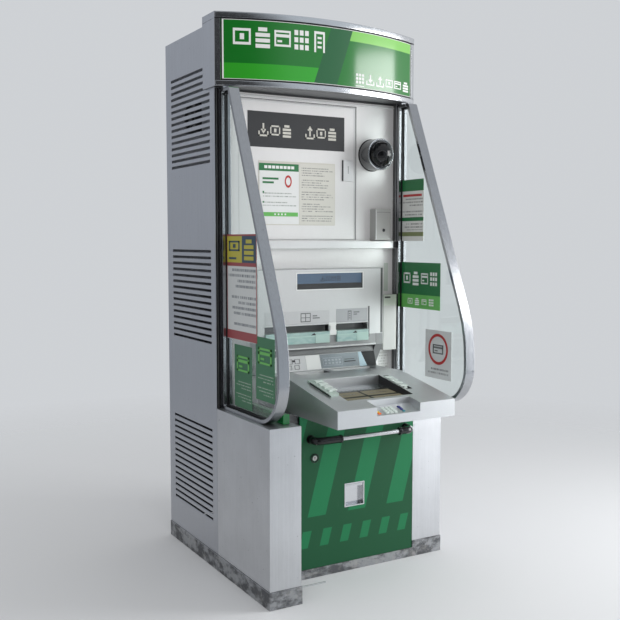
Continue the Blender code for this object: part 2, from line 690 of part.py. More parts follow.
def wing_corners(inset):
    """Corners of a wing's outline with their radii, moved in by an inset."""
    rear = CABINET_DEPTH + WING_STANDOFF
    front = rear + WING_LENGTH
    lean = math.atan2(WING_LENGTH - WING_TOP_LENGTH, WING_TOP - PIER_TOP - WING_BEND_RISE)
    bend_room = WING_BEND_RISE - GAP - WING_FOOT_RADIUS
    bend_radius = min(WING_BEND_RADIUS, bend_room / math.tan(lean / 2))
    corners = [((rear, PIER_TOP + GAP), WING_REAR_RADIUS),
               ((front, PIER_TOP + GAP), WING_FOOT_RADIUS),
               ((front, PIER_TOP + WING_BEND_RISE), bend_radius),
               ((rear + WING_TOP_LENGTH, WING_TOP), WING_TOP_RADIUS),
               ((rear, WING_TOP), WING_TOP_RADIUS)]
    points = [Vector(corner) for corner, _ in corners]
    moved = []
    for index, (_, radius) in enumerate(corners):
        before = (points[index] - points[index - 1]).normalized()
        after = (points[(index + 1) % len(points)] - points[index]).normalized()
        normal_before = Vector((-before.y, before.x))
        normal_after = Vector((-after.y, after.x))
        bisector = (normal_before + normal_after).normalized()
        shift = bisector * (inset / bisector.dot(normal_before))
        moved.append((points[index] + shift, max(radius - inset, WING_TOP_RADIUS / 4)))
    return moved


def wing_outline(inset):
    """Closed (depth, z) outline of a wing with rounded corners."""
    corners = wing_corners(inset)
    outline = []
    for index, (corner, radius) in enumerate(corners):
        before = (corners[index - 1][0] - corner).normalized()
        after = (corners[(index + 1) % len(corners)][0] - corner).normalized()
        half_angle = before.angle(after) / 2
        turn = math.pi - 2 * half_angle
        start = corner + before * (radius / math.tan(half_angle))
        centre = corner + (before + after).normalized() * (radius / math.sin(half_angle))
        facets = max(3, round(turn / math.radians(7.5)))
        spoke = start - centre
        for step in range(facets + 1):
            outline.append(tuple(centre + Matrix.Rotation(turn * step / facets, 2) @ spoke))
    return outline


def build_wing(side):
    """Flat-bar ring and the glass that it holds."""
    span = (WING_INSET, WING_INSET + WING_BAR_WIDTH)
    middle = sum(span) / 2
    pane = (middle - GLASS_THICKNESS / 2, middle + GLASS_THICKNESS / 2)
    if side == "right":
        span = mirrored(span)
        pane = mirrored(pane)
    prism("wing_frame_" + side, [wing_outline(0.0), wing_outline(WING_BAR)], span, "side", STAINLESS)
    prism("wing_glass_" + side, [wing_outline(WING_BAR + GAP)], pane, "side", GLASS)


# Console

def deck_height(depth):
    """Height of the console's sloping deck at a depth."""
    return CONSOLE_TOP - (depth - CONSOLE_BREAK) * math.tan(DECK_SLOPE)


def well_floor(depth):
    """Height of the keypad well's floor at a depth."""
    rear = deck_height(KEYPAD_WELL_REAR) - KEYPAD_WELL_SINK_REAR
    front = CONSOLE_NOSE - KEYPAD_WELL_SINK_FRONT
    share = (depth - KEYPAD_WELL_REAR) / (CONSOLE_REACH - KEYPAD_WELL_REAR)
    return rear + (front - rear) * share


WELL_SLOPE = math.atan2(well_floor(KEYPAD_WELL_REAR) - well_floor(CONSOLE_REACH),
                        CONSOLE_REACH - KEYPAD_WELL_REAR)


def tilted_block(name, centre, size, slope, rise, material=None, top_scale=1.0):
    """Box on a sloping face: rise is its (low, high) along the face's normal."""
    mesh = bpy.data.meshes.new(name)
    bm = bmesh.new()
    scale = Matrix.Diagonal((size[0], size[1], rise[1] - rise[0], 1.0))
    lift = Matrix.Translation((0.0, 0.0, (rise[0] + rise[1]) / 2))
    bmesh.ops.create_cube(bm, size=1.0, matrix=lift @ scale)
    for vert in bm.verts:
        if vert.co.z > rise[1] - FINE:
            vert.co.x *= top_scale
            vert.co.y *= top_scale
    bm.to_mesh(mesh)
    bm.free()
    obj = new_object(name, mesh, material, centre)
    obj.rotation_euler = (slope, 0.0, 0.0)
    return obj


def key_layout():
    """Return (name, centre, size, slope, material) of every key."""
    keys = []
    for side, sign, level in (("left", -1, KEY_BLOCK_RISE), ("right", 1, -KEY_STRIP_SINK)):
        for index in range(SIDE_KEYS):
            depth = SIDE_KEY_FIRST + index * SIDE_KEY_PITCH
            lift = level / math.cos(DECK_SLOPE)
            centre = place(CONTROLS_X + sign * SIDE_KEY_OFFSET, depth, deck_height(depth) + lift)
            keys.append((f"{side}_key_{index + 1}", centre, (SIDE_KEY_WIDTH, SIDE_KEY_LENGTH),
                         DECK_SLOPE, KEY_GREEN))
    size = (PAD_KEY_WIDTH, PAD_KEY_LENGTH)
    for row in range(PAD_ROWS):
        depth = PAD_FIRST_ROW + row * PAD_ROW_PITCH
        for column in range(PAD_COLUMNS):
            x = PAD_CENTRE_X + (column - (PAD_COLUMNS - 1) / 2) * PAD_COLUMN_PITCH
            number = row * PAD_COLUMNS + column + 1
            keys.append((f"pad_key_{number}", place(x, depth, well_floor(depth)), size, WELL_SLOPE,
                         KEY_GREEN))
    last = PAD_FIRST_ROW + (PAD_ROWS - 1) * PAD_ROW_PITCH
    long_size = (PAD_KEY_WIDTH * 0.8, PAD_KEY_LENGTH + (PAD_ROWS - 2) * PAD_ROW_PITCH)
    bar_depth = last - PAD_ROW_PITCH * PAD_ROWS / 2
    left_x = PAD_CENTRE_X - PAD_WING_OFFSET
    right_x = PAD_CENTRE_X + PAD_WING_OFFSET
    for name, x, depth, key_size, material in (
            ("yellow_key", left_x, last - PAD_ROW_PITCH, size, KEY_YELLOW),
            ("orange_key", left_x, last, size, KEY_ORANGE),
            ("navy_key", right_x, bar_depth, long_size, KEY_NAVY),
            ("teal_key", right_x, last, (long_size[0], size[1]), KEY_TEAL)):
        keys.append((name, place(x, depth, well_floor(depth)), key_size, WELL_SLOPE, material))
    return keys


def build_keys():
    """Key caps, each with its origin where its face meets the console."""
    for name, centre, size, slope, material in key_layout():
        tilted_block(name, centre, size, slope, (-KEY_SUNK, KEY_STAND), material, 0.86)


def console_recesses():
    """Return the tools that cut the console's screen, trays, keypad well and key pockets."""
    centre_x = CONTROLS_X - SCREEN_WIDTH / 2
    above = CONSOLE_TOP + KEY_BLOCK_RISE * 3
    screen_profile = [(SCREEN_REAR, deck_height(SCREEN_REAR) - SCREEN_DROP_REAR),
                      (SCREEN_FRONT, deck_height(SCREEN_FRONT) - SCREEN_DROP_FRONT),
                      (SCREEN_FRONT, above), (SCREEN_REAR, above)]
    tools = [prism("screen_recess", [screen_profile], (centre_x, centre_x + SCREEN_WIDTH), "side")]
    for name, (x, width, distance, length) in (("note_tray", NOTE_TRAY), ("coin_tray", COIN_TRAY)):
        depth = WALL_FRONT + distance
        tools.append(block(name, (x, x + width), (depth, depth + length),
                           (CONSOLE_TOP - TRAY_SINK, above)))
    beyond = CONSOLE_REACH + SHEET
    well_profile = [(KEYPAD_WELL_REAR, well_floor(KEYPAD_WELL_REAR)), (beyond, well_floor(beyond)),
                    (beyond, above), (KEYPAD_WELL_REAR, above)]
    tools.append(prism("keypad_well", [well_profile],
                       (KEYPAD_WELL_X, KEYPAD_WELL_X + KEYPAD_WELL_WIDTH), "side"))
    middle = SIDE_KEY_FIRST + (SIDE_KEYS - 1) * SIDE_KEY_PITCH / 2
    tools.append(tilted_block("key_strip", place(CONTROLS_X + SIDE_KEY_OFFSET, middle,
                                                 deck_height(middle)),
                              (SIDE_KEY_WIDTH * 1.7, KEY_BLOCK_LENGTH), DECK_SLOPE,
                              (-KEY_STRIP_SINK, KEY_BLOCK_RISE)))
    for name, centre, size, slope, _ in key_layout():
        pocket = (size[0] + 2 * KEY_PLAY, size[1] + 2 * KEY_PLAY)
        tools.append(tilted_block(name + "_pocket", centre, pocket, slope,
                                  (-POCKET_DEPTH, KEY_STAND)))
    return tools


def build_console():
    """Projecting desk: shelf, sloping deck, raised key block and the hollow below them."""
    rear = WALL_FRONT + GAP
    span = (CONSOLE_X, CONSOLE_X + CONSOLE_WIDTH)
    profile = [(rear, CONSOLE_BOTTOM), (CONSOLE_REACH, CONSOLE_BOTTOM),
               (CONSOLE_REACH, CONSOLE_NOSE), (CONSOLE_BREAK, CONSOLE_TOP), (rear, CONSOLE_TOP)]
    console = prism("console_body", [profile], span, "side", FASCIA)
    skin = CONSOLE_SKIN
    bottom = CONSOLE_BOTTOM + skin
    floor_front = well_floor(CONSOLE_REACH) - POCKET_DEPTH - skin
    floor_well = well_floor(KEYPAD_WELL_REAR) - POCKET_DEPTH - 2 * skin
    shelf_under = CONSOLE_TOP - TRAY_SINK - skin
    floor_screen = deck_height(SCREEN_REAR) - SCREEN_DROP_REAR - 2 * skin
    hollow_profile = [(rear - skin, bottom), (CONSOLE_REACH - skin, bottom),
                      (CONSOLE_REACH - skin, floor_front), (KEYPAD_WELL_REAR - 2 * skin, floor_well),
                      (SCREEN_REAR - 2 * skin, min(floor_screen, shelf_under)),
                      (SCREEN_REAR - 4 * skin, shelf_under), (rear - skin, shelf_under)]
    hollow = prism("console_hollow", [hollow_profile], (span[0] + skin, span[1] - skin), "side")
    middle = SIDE_KEY_FIRST + (SIDE_KEYS - 1) * SIDE_KEY_PITCH / 2
    key_block = tilted_block("key_block", place(CONTROLS_X - SIDE_KEY_OFFSET, middle,
                                                deck_height(middle)),
                             (min(KEY_BLOCK_WIDTH, 2 * SIDE_KEY_OFFSET - SCREEN_WIDTH - skin),
                              KEY_BLOCK_LENGTH), DECK_SLOPE, (-skin, KEY_BLOCK_RISE))
    cut(console, hollow)
    join(console, key_block)
    cut(console, *console_recesses())


def build_screen():
    """Touch screen that lies on the recess's sloping floor."""
    rear = SCREEN_REAR + SCREEN_FIT
    front = SCREEN_FRONT - SCREEN_FIT
    slope = ((deck_height(SCREEN_REAR) - SCREEN_DROP_REAR)
             - (deck_height(SCREEN_FRONT) - SCREEN_DROP_FRONT)) / (SCREEN_FRONT - SCREEN_REAR)

    def floor(depth):
        return deck_height(SCREEN_REAR) - SCREEN_DROP_REAR - (depth - SCREEN_REAR) * slope + GAP

    profile = [(rear, floor(rear)), (front, floor(front)), (front, floor(front) + SCREEN_THICKNESS),
               (rear, floor(rear) + SCREEN_THICKNESS)]
    left = CONTROLS_X - SCREEN_WIDTH / 2 + SCREEN_FIT
    right = CONTROLS_X + SCREEN_WIDTH / 2 - SCREEN_FIT
    prism("console_screen", [profile], (left, right), "side", BLACK)


# Cash module

def build_module():
    """Housing behind the console: feed slots, message window, graphic panel and cheeks."""
    rear = WALL_FRONT + GAP
    foot = CONSOLE_TOP + GAP
    panel_span = (CONSOLE_X, CONSOLE_X + CONSOLE_WIDTH)
    span = (panel_span[0] - CHEEK_WIDTH, panel_span[1] + CHEEK_WIDTH)
    underside = MODULE_LIP - LIP_SLOPE
    panel_foot = WALL_FRONT + PANEL_FOOT
    panel_head = WALL_FRONT + PANEL_HEAD
    panel_top = CONSOLE_TOP + PANEL_RISE
    cheek_foot = CONSOLE_TOP - CHEEK_DROP
    cheek_top = CONSOLE_TOP + CHEEK_RISE
    cheek_foot_reach = WALL_FRONT + CHEEK_FOOT_DEPTH
    upper_profile = [(rear, underside), (panel_head, underside),
                     (MODULE_FRONT, MODULE_LIP), (MODULE_FRONT, MODULE_TOP), (rear, MODULE_TOP)]
    housing = prism("module_housing", [upper_profile], span, "side", FASCIA)
    panel_profile = [(rear, foot), (panel_foot, foot), (panel_head, panel_top),
                     (panel_head, underside + SHEET), (rear, underside + SHEET)]
    panel = prism("module_panel", [panel_profile], panel_span, "side")
    cheek_profile = [(rear, cheek_foot), (cheek_foot_reach, cheek_foot), (MODULE_FRONT, MODULE_LIP),
                     (MODULE_FRONT, cheek_top), (rear, cheek_top)]
    right_cheek = prism("module_right_cheek", [cheek_profile], (panel_span[1] + GAP, span[1]), "side")
    left_cheek = prism("module_left_cheek", [cheek_profile], (span[0], panel_span[0] - GAP), "side")
    fillet = block("module_panel_seat", (span[0] + SHEET, span[1] - SHEET),
                   (rear, panel_head - SHEET), (foot, underside + SHEET))
    hollow = block("module_hollow", (span[0] + SHEET, span[1] - SHEET),
                   (rear - SHEET, MODULE_FRONT - SHEET),
                   (MODULE_LIP + SHEET, MODULE_TOP - SHEET))
    window = block("module_window", (WINDOW_X, WINDOW_X + WINDOW_WIDTH),
                   (MODULE_FRONT - WINDOW_SINK, MODULE_FRONT + SHEET),
                   (MODULE_TOP - WINDOW_HEADROOM - WINDOW_HEIGHT, MODULE_TOP - WINDOW_HEADROOM))
    join(housing, panel, right_cheek, left_cheek, fillet)
    cut(housing, hollow, window)
    for name, (x, width) in (("passbook", PASSBOOK_SLOT), ("card", CARD_SLOT)):
        cut(housing, block(name + "_slot_cut", (x, x + width),
                           (MODULE_FRONT - 2 * SHEET, MODULE_FRONT + SHEET),
                           (SLOT_BOTTOM, SLOT_TOP)))


def build_feed_unit(name, slot, mouth_width, material):
    """Passbook printer or card reader: a body through the wall, its feed guide and its shutter."""
    x, width = slot
    body_x = (x + 2 * SHEET, x + width - 2 * SHEET)
    nose_x = (x + KEY_PLAY * 2, x + width - KEY_PLAY * 2)
    unit = block(name, body_x, (UNIT_REAR, UNIT_FACE), (UNIT_BOTTOM, UNIT_TOP), material)
    nose = block(name + "_guide", nose_x, (UNIT_FACE - SHEET, MODULE_FRONT + GUIDE_PROUD),
                 (SLOT_BOTTOM + KEY_PLAY * 2, GUIDE_LEVEL))
    middle = x + width / 2
    mouth_z = GUIDE_LEVEL + MOUTH_HEIGHT
    mouth = block(name + "_mouth", (middle - mouth_width / 2, middle + mouth_width / 2),
                  (UNIT_FACE - MOUTH_DEPTH, UNIT_FACE + SHEET), (mouth_z, mouth_z + MOUTH_HEIGHT))
    join(unit, nose)
    cut(unit, mouth)


def build_shutter(name, slot):
    """Thin shutter that stands on the feed guide and lifts behind the housing's front."""
    x, width = slot
    rear = UNIT_FACE + GAP
    block(name, (x - SHEET, x + width + SHEET), (rear, rear + SHUTTER_THICKNESS),
          (GUIDE_LEVEL + GAP, GUIDE_LEVEL + GAP + SHUTTER_HEIGHT), DARK_STEEL)


def build_leaflet_holder():
    """Open-topped pocket on the wall."""
    rear = WALL_FRONT + GAP
    holder = block("leaflet_holder", (HOLDER_X, HOLDER_X + HOLDER_WIDTH), (rear, rear + HOLDER_REACH),
                   (HOLDER_BOTTOM, HOLDER_BOTTOM + HOLDER_HEIGHT), WHITE)
    wall = HOLDER_WALL
    pocket = block("leaflet_pocket", (HOLDER_X + wall, HOLDER_X + HOLDER_WIDTH - wall),
                   (rear + wall, rear + HOLDER_REACH - wall),
                   (HOLDER_BOTTOM + wall, HOLDER_BOTTOM + HOLDER_HEIGHT + wall))
    cut(holder, pocket)


# Works inside the cabinet

def build_safe():
    """Steel safe, its door and the stack of cash cassettes."""
    bottom = PLINTH_HEIGHT + GAP
    span = (SAFE_X, SAFE_X + SAFE_WIDTH)
    wall = SAFE_WALL
    safe = block("safe_body", span, (SAFE_REAR, SAFE_FRONT), (bottom, SAFE_TOP), GREY)
    inner = (span[0] + wall, span[1] - wall)
    cut(safe, block("safe_hollow", inner, (SAFE_REAR + wall, SAFE_FRONT + wall),
                    (bottom + wall, SAFE_TOP - wall)))
    block("safe_door", span, (SAFE_FRONT + GAP, SAFE_FRONT + GAP + SAFE_DOOR), (bottom, SAFE_TOP),
          GREY)
    stack_x = (inner[0] + GAP, inner[1] - GAP)
    stack_bottom = bottom + wall + GAP
    stack_front = SAFE_FRONT - wall
    stack = block("cash_cassettes", stack_x, (SAFE_REAR + wall + GAP, stack_front),
                  (stack_bottom, SAFE_TOP - CASSETTE_STACK_HEADROOM), GREY)
    pitch = (SAFE_TOP - CASSETTE_STACK_HEADROOM - stack_bottom) / CASSETTES
    groove_z = stack_bottom + pitch - CASSETTE_GROOVE / 2
    groove = block("cassette_groove", (span[0], span[1]), (stack_front - 2 * wall, SAFE_FRONT),
                   (groove_z, groove_z + CASSETTE_GROOVE))
    cut(stack, repeat(groove, CASSETTES - 1, (0, 0, pitch)))


def build_works():
    """Note transport on the safe, and the controller on the two feed units."""
    behind_wall = WALL_FRONT - WALL_THICKNESS - GAP
    block("note_transport", (TRANSPORT_X, TRANSPORT_X + TRANSPORT_WIDTH),
          (TRANSPORT_REAR, behind_wall), (SAFE_TOP + GAP, UNIT_BOTTOM - GAP), GREY)
    block("controller", (CONTROLLER_X, CONTROLLER_X + CONTROLLER_WIDTH),
          (UNIT_REAR, UNIT_REAR + CONTROLLER_DEPTH), (UNIT_TOP + GAP, UNIT_TOP + CONTROLLER_HEIGHT),
          GREY)


def build_fan():
    """Axial fan on the left louvres: a frame with a spider, and a bladed rotor."""
    near = SHEET + GAP
    far = near + FAN_DEPTH
    axis_depth = FAN_REAR + FAN_SIZE / 2
    bottom = CABINET_TOP - FAN_HEADROOM - FAN_SIZE
    axis_z = bottom + FAN_SIZE / 2
    frame = block("fan_frame", (near, far), (FAN_REAR, FAN_REAR + FAN_SIZE),
                  (bottom, bottom + FAN_SIZE), BLACK)
    cut(frame, rod("fan_bore", place((near + far) / 2, axis_depth, axis_z), FAN_BORE, 2 * FAN_DEPTH,
                   "x"))
    spider = (far - FAN_SPIDER, far)
    arm = FAN_HUB / 4
    join(frame,
         block("fan_arm_level", spider, (FAN_REAR + SHEET, FAN_REAR + FAN_SIZE - SHEET),
               (axis_z - arm, axis_z + arm)),
         block("fan_arm_upright", spider, (axis_depth - arm, axis_depth + arm),
               (bottom + SHEET, bottom + FAN_SIZE - SHEET)))
    hub = (near + SHEET, far - FAN_SPIDER - FAN_END_PLAY)
    hub_length = hub[1] - hub[0]
    centre = place(sum(hub) / 2, axis_depth, axis_z)
    rotor = rod("fan_rotor", centre, FAN_HUB, hub_length, "x", BLACK, 21)
    for index in range(FAN_BLADES):
        mesh = bpy.data.meshes.new(f"fan_blade_{index + 1}")
        bm = bmesh.new()
        length = FAN_BLADE_TIP - FAN_HUB * 0.7
        size = Matrix.Diagonal((0.0016, hub_length * 1.1, length, 1.0))
        pitch = Matrix.Rotation(math.radians(50), 4, "Z")
        lift = Matrix.Translation((0.0, 0.0, FAN_HUB * 0.7 + length / 2))
        turn = Matrix.Rotation(math.tau * index / FAN_BLADES, 4, "X")
        bmesh.ops.create_cube(bm, size=1.0, matrix=turn @ lift @ pitch @ size)
        bm.to_mesh(mesh)
        bm.free()
        join(rotor, new_object(mesh.name, mesh, None, centre))


# Lower door

def build_lower_door():
    """Green door with its recessed pull and lock ring, hinged at its right edge."""
    hinge = place(LOWER_DOOR_RIGHT, DOOR_PLANE, LOWER_DOOR_BOTTOM)
    rear = DOOR_PLANE - LOWER_DOOR_THICKNESS
    door = block("lower_door", (LOWER_DOOR_X, LOWER_DOOR_RIGHT), (rear, DOOR_PLANE),
                 (LOWER_DOOR_BOTTOM, LOWER_DOOR_TOP), GREEN, hinge)
    wall = PULL_WALL
    cup = block("pull_cup", (PULL_X - wall, PULL_X + PULL_WIDTH + wall),
                (DOOR_PLANE - PULL_DEPTH - wall, DOOR_PLANE - LOWER_DOOR_THICKNESS / 2),
                (PULL_BOTTOM - wall, PULL_BOTTOM + PULL_HEIGHT + wall))
    hollow = block("pull_hollow", (PULL_X, PULL_X + PULL_WIDTH),
                   (DOOR_PLANE - PULL_DEPTH, DOOR_PLANE + wall),
                   (PULL_BOTTOM, PULL_BOTTOM + PULL_HEIGHT))
    ring_length = LOCK_RING_PROUD + LOWER_DOOR_THICKNESS / 2
    ring = rod("lock_ring", place(LOCK_X, DOOR_PLANE + LOCK_RING_PROUD - ring_length / 2, LOCK_Z),
               LOCK_RING, ring_length, "depth")
    bore = rod("lock_bore", place(LOCK_X, DOOR_PLANE, LOCK_Z), LOCK_RADIUS + LOCK_PLAY,
               4 * LOCK_LENGTH, "depth")
    join(door, cup, ring)
    cut(door, hollow, bore)
    rod("lock_barrel", place(LOCK_X, DOOR_PLANE + LOCK_RING_PROUD - LOCK_LENGTH / 2, LOCK_Z),
        LOCK_RADIUS, LOCK_LENGTH, "depth", STAINLESS)


def build_handle():
    """Bent rod that stands off the lower door."""
    curve = bpy.data.curves.new("door_handle", "CURVE")
    curve.dimensions = "3D"
    curve.bevel_depth = HANDLE_RADIUS
    curve.bevel_resolution = 2
    curve.use_fill_caps = True
    foot = DOOR_PLANE + GAP
    reach = DOOR_PLANE + HANDLE_STANDOFF
    bend = HANDLE_BEND
    path = [(HANDLE_LEFT, foot)]
    for x, start in ((HANDLE_LEFT + bend, 180), (HANDLE_RIGHT - bend, 90)):
        for step in range(7):
            angle = math.radians(start - 15 * step)
            path.append((x + bend * math.cos(angle), reach - bend + bend * math.sin(angle)))
    path.append((HANDLE_RIGHT, foot))
    spline = curve.splines.new("POLY")
    spline.points.add(len(path) - 1)
    for point, (x, depth) in zip(spline.points, path):
        point.co = (*place(x, depth, HANDLE_Z), 1.0)
    guide = bpy.data.objects.new("door_handle_guide", curve)
    CUTTERS.objects.link(guide)
    mesh = mesh_from_curve(guide)
    mesh.shade_smooth()
    mesh.set_sharp_from_angle(angle=math.radians(50))
    new_object("door_handle", mesh, STAINLESS)


def build_machine():
    """Build every piece, from the floor up."""
    build_plinth()
    build_side_panel("left_side_panel", "left")
    build_side_panel("right_side_panel", "right")
    build_top_panel()
    build_piers()
    build_wall()
    build_camera_dome()
    build_access_door()
    build_rear_door()
    build_header()
    build_wing("left")
    build_wing("right")
    build_console()
    build_screen()
    build_keys()
    build_module()
    build_feed_unit("passbook_printer", PASSBOOK_SLOT, 0.180, KEY_GREEN)
    build_feed_unit("card_reader", CARD_SLOT, 0.060, KEY_GREEN)
    build_shutter("passbook_shutter", PASSBOOK_SLOT)
    build_shutter("card_shutter", CARD_SLOT)
    build_leaflet_holder()
    build_safe()
    build_works()
    build_fan()
    build_lower_door()
    build_handle()


build_machine()
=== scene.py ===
"""Finishes, trim and graphics of a free-standing cash machine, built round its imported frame.

Places are given from the cabinet's own corner: x from its left face, depth from its rear
face towards the customer, and z above the floor, all in metres.
"""
import logging
import math
from contextlib import contextmanager
from dataclasses import dataclass, field
from enum import Enum
from typing import Callable, Iterable, Iterator, Optional, Sequence, Union

import bpy
from mathutils import Euler, Matrix, Vector


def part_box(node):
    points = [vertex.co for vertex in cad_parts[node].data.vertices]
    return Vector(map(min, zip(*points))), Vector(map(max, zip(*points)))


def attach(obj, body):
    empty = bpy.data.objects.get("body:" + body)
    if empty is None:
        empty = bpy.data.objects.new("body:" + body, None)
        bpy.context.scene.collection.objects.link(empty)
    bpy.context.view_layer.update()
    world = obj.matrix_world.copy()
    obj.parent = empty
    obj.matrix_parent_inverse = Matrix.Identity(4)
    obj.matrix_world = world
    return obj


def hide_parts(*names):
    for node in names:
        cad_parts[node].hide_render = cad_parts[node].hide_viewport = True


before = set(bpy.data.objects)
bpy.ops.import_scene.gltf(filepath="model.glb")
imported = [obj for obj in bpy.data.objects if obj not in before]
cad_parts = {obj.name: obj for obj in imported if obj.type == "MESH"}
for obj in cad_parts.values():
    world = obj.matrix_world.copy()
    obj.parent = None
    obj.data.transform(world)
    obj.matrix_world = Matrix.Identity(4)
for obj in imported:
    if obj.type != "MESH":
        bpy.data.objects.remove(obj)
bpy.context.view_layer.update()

LOG = logging.getLogger("cash_machine")
Triple = tuple[float, float, float]
Colour = Triple
Piece = bpy.types.Object
Span = tuple[float, float]
Row = tuple[float, ...]
AHEAD = Vector((0.0, -1.0, 0.0))
SKIN = 0.0004  # a printed film or a gap that only the eye needs


class Axis(Enum):
    """Directions of the machine's own frame."""

    X = 0
    Y = 1
    Z = 2


class Datum:
    """The cabinet's rear left corner on the floor, which every place is measured from."""

    left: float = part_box("left_side_panel")[0].x
    rear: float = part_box("left_side_panel")[1].y

    @classmethod
    def at(cls, x: float, depth: float, z: float) -> Vector:
        """Gives the point at x, depth and z as a vector of the frame."""
        return Vector((cls.left + x, cls.rear - depth, z))

    @classmethod
    def spans(cls, node: str) -> tuple[Span, Span, Span]:
        """Gives a CAD node's (x, depth, z) spans in the cabinet's own measures.

        Args:
            node: Name of the CAD node.

        Returns:
            Its lowest and highest x, depth and z.
        """
        low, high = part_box(node)
        return ((low.x - cls.left, high.x - cls.left), (cls.rear - high.y, cls.rear - low.y),
            (low.z, high.z))


at = Datum.at


def operator(operation: str, swapped: bool = False) -> Callable:
    """Makes the method of one operator.

    Args:
        operation: Operation of the Math node that it adds.
        swapped: Whether the other value comes first.

    Returns:
        The method.
    """
    def method(self: "Socket", other: "Value") -> "Socket":
        """Adds the node."""
        return self.math(operation, *((other, self) if swapped else (self, other)))

    return method


class Socket:
    """A node's output that is used in a Python expression, which adds Math nodes."""

    def __init__(self, graph: "Graph", output: bpy.types.NodeSocket) -> None:
        """Wraps an output of a node in a graph."""
        self.graph = graph
        self.output = output

    def math(self, operation: str, *values: "Value") -> "Socket":
        """Adds one Math node with these values on its sockets."""
        inputs = {index: value for index, value in enumerate(values)}
        return self.graph.node("Math", {"operation": operation}, inputs)

    __add__ = __radd__ = operator("ADD")
    __sub__ = operator("SUBTRACT")
    __rsub__ = operator("SUBTRACT", swapped=True)
    __mul__ = __rmul__ = operator("MULTIPLY")
    __truediv__ = operator("DIVIDE")
    __pow__ = operator("POWER")
    __gt__ = operator("GREATER_THAN")
    __lt__ = operator("LESS_THAN")

    def fract(self) -> "Socket":
        """Fractional part."""
        return self.math("FRACT", self)

    def floor(self) -> "Socket":
        """Whole part."""
        return self.math("FLOOR", self)

    def clamped(self) -> "Socket":
        """Self kept from 0 to 1."""
        return self.graph.node("Clamp", {}, {0: self})

    def within(self, low: float, high: float) -> "Socket":
        """One between two numbers and zero elsewhere."""
        return (self > low) * (self < high)


Value = Union[Socket, float, int, tuple]


class Graph:
    """The node tree of one material or of the world."""

    def __init__(self, tree: bpy.types.NodeTree) -> None:
        """Empties a tree and keeps it."""
        self.tree = tree
        self.tree.nodes.clear()

    def node(self, kind: str, settings: Optional[dict] = None, inputs: Optional[dict] = None,
            output: Union[int, str] = 0) -> Socket:
        """Adds a node, with its settings first and its sockets' values or links after.

        Args:
            kind: The node's type, after "ShaderNode".
            settings: Properties of the node, and "stops" for a colour ramp.
            inputs: Values or sockets, by the input's index or name.
            output: Which output to wrap.

        Returns:
            The wrapped output.
        """
        made = self.tree.nodes.new("ShaderNode" + kind)
        for name, value in (settings or {}).items():
            if name == "stops":
                self._set_stops(made.color_ramp, value)
            else:
                setattr(made, name, value)
        for name, value in (inputs or {}).items():
            if isinstance(value, Socket):
                self.tree.links.new(value.output, made.inputs[name])
            else:
                made.inputs[name].default_value = value
        return Socket(self, made.outputs[output]) if made.outputs else Socket(self, None)

    @staticmethod
    def _set_stops(ramp: bpy.types.ColorRamp, stops: Sequence[tuple[float, float]]) -> None:
        """Gives a grey colour ramp its (position, value) stops."""
        while len(ramp.elements) < len(stops):
            ramp.elements.new(1.0)
        for element, (position, value) in zip(ramp.elements, stops):
            element.position = position
            element.color = (value, value, value, 1.0)

    def place(self, scale: Triple = (1.0, 1.0, 1.0)) -> Socket:
        """Object coordinates, stretched by a factor along each axis."""
        coordinates = self.node("TexCoord", output="Object")
        return self.node("Mapping", {}, {"Vector": coordinates, "Scale": scale})

    def axis(self, axis: Axis) -> Socket:
        """One Object coordinate, in metres."""
        coordinates = self.node("TexCoord", output="Object")
        return self.node("SeparateXYZ", {}, {0: coordinates}, output=axis.value)

    def noise(self, scale: float, stretch: tuple[float, float, float] = (1.0, 1.0, 1.0),
            detail: float = 2.0, roughness: float = 0.5) -> Socket:
        """Noise of about 0.5 on average, in Object coordinates.

        Args:
            scale: Features per metre.
            stretch: Factor on the scale along each axis.
            detail: Octaves.
            roughness: Strength of the finer octaves.

        Returns:
            The noise's value.
        """
        return self.node("TexNoise", {}, {"Vector": self.place(stretch), "Scale": scale, "Detail": detail,
            "Roughness": roughness})

    def ramp(self, value: Socket, *stops: tuple[float, float]) -> Socket:
        """Maps a value through straight steps between (position, value) stops."""
        return self.node("ValToRGB", {"stops": stops}, {0: value})

    def blend(self, share: Value, first: Value, second: Value, how: str = "MIX") -> Socket:
        """Mixes two colours.

        Args:
            share: How much of the second colour.
            first: Colour or link.
            second: Colour or link.
            how: The way to mix.

        Returns:
            The mixed colour.
        """
        def opaque(value: Value) -> Value:
            """A colour with its alpha."""
            return value if isinstance(value, Socket) else (*value, 1.0)
        return self.node("Mix", {"data_type": "RGBA", "blend_type": how}, {0: share, 6: opaque(first),
            7: opaque(second)}, output=2)

    def bump(self, height: Socket, strength: float, distance: float = 0.001) -> Socket:
        """Normal of a height field."""
        return self.node("Bump", {}, {"Height": height, "Strength": strength, "Distance": distance})

    def surface(self, **inputs: Value) -> Socket:
        """A Principled shader; an underscore in a name stands for a space.

        Args:
            inputs: Values or links by input name, in title case with underscores.

        Returns:
            The shader's output.
        """
        named = {}
        for name, value in inputs.items():
            colour = isinstance(value, tuple) and len(value) == 3 and "Color" in name
            named[name.replace("_", " ")] = (*value, 1.0) if colour else value
        return self.node("BsdfPrincipled", {}, named)

    def finish(self, shader: Socket) -> None:
        """Links a shader to the material's output."""
        self.node("OutputMaterial", {}, {"Surface": shader})


